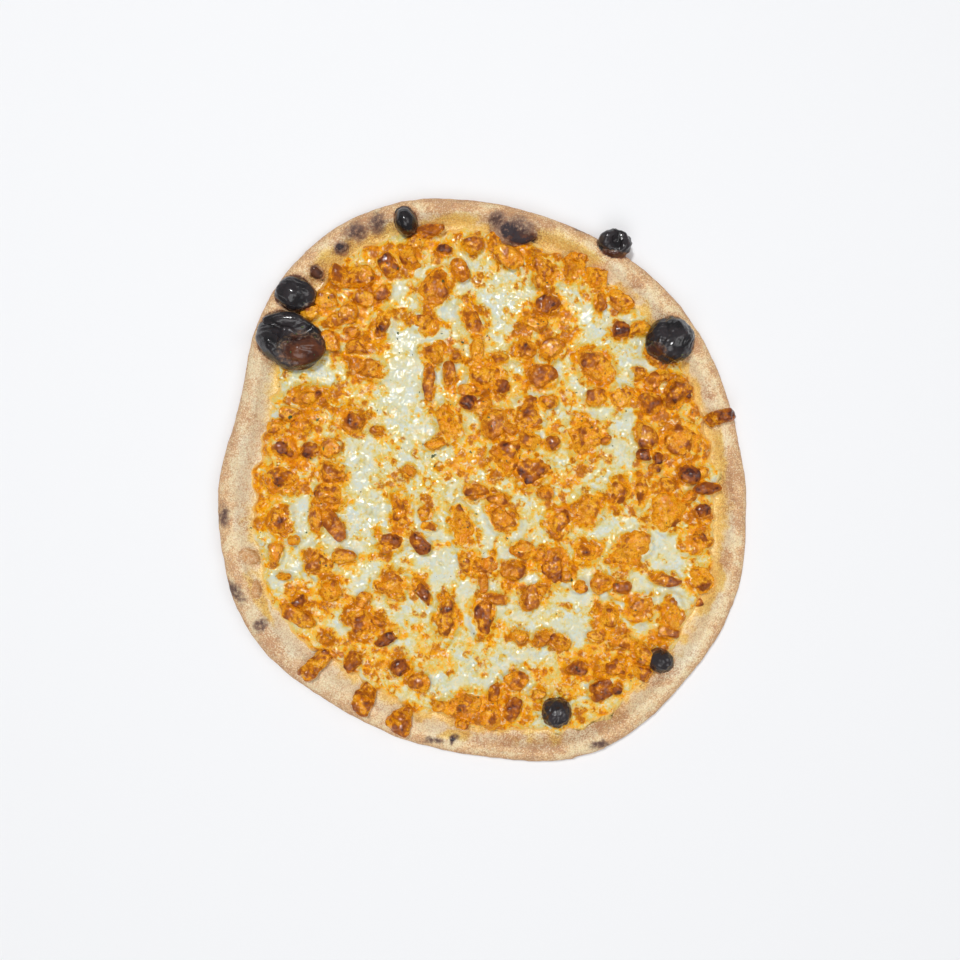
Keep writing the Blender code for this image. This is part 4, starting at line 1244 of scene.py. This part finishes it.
def chickenMaterial():
    material, tree, shader = newMaterial("saucedChicken", Subsurface_Weight=0.06, Subsurface_Scale=0.002,
                                         Subsurface_Radius=(1.0, 0.45, 0.1), Specular_IOR_Level=0.34)
    tones = meatLook["colours"]
    fine, middle, rough = grain(tree, 1.1, 2, 0.5), grain(tree, 4, 3, 0.5), grain(tree, 2.8, 4, 0.6, 0.5)
    searedAndShaded = plus(painted(tree, "searAndCreaseShade"), remap(middle, 0.3, 0.7, -0.2, 0.2))
    searedAndShaded = plus(searedAndShaded, remap(rough, 0.3, 0.7, 0.2, -0.2))
    colour = layered(tones["sauce"],
                     (remap(middle, 0.35, 0.65), tones["brightSauce"]),
                     (remap(grain(tree, 11, 2), 0.4, 0.65, 0, 0.6), tones["yellow"]),
                     (remap(grain(tree, 22, 2), 0.52, 0.64, 0, 0.7), tones["red"]),
                     (painted(tree, "foot"), tones["foot"]),
                     # pale spots: partly cheese on the meat, partly painted glints
                     (remap(rough, 0.60, 0.74, 0, 0.7), tones["paleSpotAndGlint"]),
                     (remap(fine, 0.5, 0.62, 0, 0.45), tones["darkFleck"]),
                     (remap(fine, 0.46, 0.34, 0, 0.35), tones["lightFleck"]),
                     # the sear share also carries painted shade in the hollow creases
                     (remap(searedAndShaded, 0.05, 0.42, 0, 0.92), tones["searedAndShaded"]),
                     (remap(searedAndShaded, 0.42, 0.78, 0, 0.8), tones["brown"]),
                     (remap(searedAndShaded, 0.9, 1.2, 0, 0.85), tones["burnt"]))
    dress(shader, colour, remap(middle, 0.3, 0.7, 0.07, 0.16), (grain(tree, 4, 1, 0.4, 0.6), 0.6),
          (grain(tree, 2, 1, 0.4, 0.8), 0.3), (fine, 0.06))
    return material


# Dried herbs over it all

herbLook = {
    "places": (
        (-15, 98), (-60, 104), (-59, 90), (-50, 89), (-45, 62), (3, 102), (-28, 139), (-60, 149),
        (-112, 22), (-135, 44), (-117, 43), (-125, -37), (-122, -11), (-34, 10), (-9, 20), (-35, 17),
        (-4, -24), (-15, -20), (-5, -14), (17, -41), (66, 119), (67, 71), (66, 62), (92, 24), (94, 72),
        (62, -70), (-110, -60), (-114, -58), (-165, -34), (-158, -37),
    ),
    "length": (1.8, 3.6),
    "crumbs": 320,
    "crumbLength": (0.8, 1.9),
    "fineFrom": 1.7,  # from this length a flake is made finer
    "widthShare": (0.16, 0.36),
    "halfThickness": 0.16,
    "raggedness": 0.45,
    "curl": 0.25,
    "lift": 0.1,  # off what it lies on
    "seed": 77,
    "colours": ((0.030, 0.045, 0.010), (0.10, 0.13, 0.03)),
}


def herbMesh(ground):
    # bent flakes of leaf: the placed ones, then small ones strewn at random
    look = herbLook
    chance = np.random.default_rng(look["seed"])
    rows = [(x, y, chance.uniform(*look["length"])) for x, y in look["places"]]
    for _ in range(look["crumbs"]):
        way, out = chance.uniform(0, 2 * math.pi), math.sqrt(chance.uniform(0, 1))
        reach = out * (footAt(way) + 2)
        rows.append((reach * math.cos(way), reach * math.sin(way), chance.uniform(*look["crumbLength"])))
    leaves = []
    for number, (x, y, length) in enumerate(rows):
        found, upward = below(ground, x, y)
        if found is None:
            continue
        mesh = newBall(3 if length > look["fineFrom"] else 2)
        ways = pointsOf(mesh) * mm
        ragged = 1 + look["raggedness"] * waves(ways * 1.2 + number * 9.1, 1, 301)
        sizes = (length / 2, length * chance.uniform(*look["widthShare"]), look["halfThickness"])
        flake = ways * np.array(sizes) * ragged[:, None]
        flake[:, 2] += look["curl"] * length * (flake[:, 0] / length) ** 2 * chance.uniform(-1, 2)
        setPoints(mesh, flake)
        lie = upward.to_track_quat("Z", "Y").to_matrix().to_4x4()
        spun = Matrix.Rotation(chance.uniform(0, 6.28), 4, "Z")
        mesh.transform(Matrix.Translation(found + upward * look["lift"] * mm) @ lie @ spun)
        leaves.append(mesh)
    return joined("herbs", leaves)


def herbMaterial():
    material, tree, shader = newMaterial("driedHerbs")
    colour = mixColours(remap(grain(tree, 1.4, 2), 0.35, 0.65), *herbLook["colours"])
    dress(shader, colour, 0.6, (grain(tree, 0.5, 2), 0.15))
    return material


chickenMix = chickenMaterial()
chickenNodes = sorted(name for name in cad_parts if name.startswith("chicken"))
lumpMeshes = [chickenLump(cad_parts[name], number) for number, name in enumerate(chickenNodes, start=1)]
for number, (name, mesh) in enumerate(zip(chickenNodes, lumpMeshes), start=1):
    addPiece(f"chickenPiece{number:02d}", mesh, chickenMix, "chicken", name)
cheeseMesh = meltedCheese(lumpMeshes)
addPiece("cheeseMelted", cheeseMesh, cheeseMaterial(), "cheese", "cheese")
print("stage: cheese,", len(cheeseMesh.polygons), "faces")
cheeseTop = surfaceOf(cheeseMesh)
scraps = [scrapAt(cheeseTop, number, *row) for number, row in enumerate(scrapLook["places"])]
scraps = joined("scraps", scraps)
addPiece("chickenScraps", scraps, chickenMix, "chicken")
print("stage: chicken,", len(chickenNodes), "pieces and", len(scrapLook["places"]), "scraps")

herbs = herbMesh(surfaceOf(crustMesh, cheeseMesh, scraps, *lumpMeshes))
addPiece("herbFlakes", herbs, herbMaterial(), "cheese")
print("stage: herbs,", len(herbs.polygons), "faces")


# Floor, light and camera

stageLook = {
    "floorColour": (0.88, 0.885, 0.90),
    "floorSize": 4,  # half its width in metres
    "worldColour": (0.96, 0.98, 1),
    "worldStrength": 0.21,
    # each light: place in metres, size, power
    "keyLight": ((-0.5, 0.8, 2.5), 0.3, 36.5),
    "rightLight": ((1.5, 0.1, 2.2), 1.6, 17),
    "nearLight": ((-0.4, -1.5, 2.2), 1.6, 19.5),
}


def addLight(name):
    position, size, power = stageLook[name]
    light = bpy.data.lights.new(name, "AREA")
    light.size = size
    light.energy = power
    lamp = bpy.data.objects.new(name, light)
    lamp.location = position
    lamp.rotation_euler = (-Vector(position)).to_track_quat("-Z", "Y").to_euler()
    bpy.context.scene.collection.objects.link(lamp)


def addStage():
    shape = bmesh.new()
    bmesh.ops.create_grid(shape, x_segments=1, y_segments=1, size=stageLook["floorSize"])
    mesh = toMesh("floor", shape)
    colour = (*stageLook["floorColour"], 1)
    mesh.materials.append(newMaterial("paleFloor", Base_Color=colour, Roughness=0.9)[0])
    floor = bpy.data.objects.new("floor", mesh)
    bpy.context.scene.collection.objects.link(floor)
    world = bpy.data.worlds.new("studio")
    world.use_nodes = True
    sky = world.node_tree.nodes["Background"].inputs
    sky["Color"].default_value = (*stageLook["worldColour"], 1)
    sky["Strength"].default_value = stageLook["worldStrength"]
    bpy.context.scene.world = world
    for name in ("keyLight", "rightLight", "nearLight"):
        addLight(name)
    bpy.context.scene.view_settings.view_transform = "Standard"
    camera = bpy.data.cameras.new("camera")
    camera.lens = cameraLook["lens"]
    camera.sensor_width = cameraLook["sensor"]
    viewer = bpy.data.objects.new("camera", camera)
    viewer.location = Vector((*cameraLook["middle"], cameraLook["height"])) * mm
    bpy.context.scene.collection.objects.link(viewer)
    bpy.context.scene.camera = viewer


addStage()
print("stage: floor, light and camera")
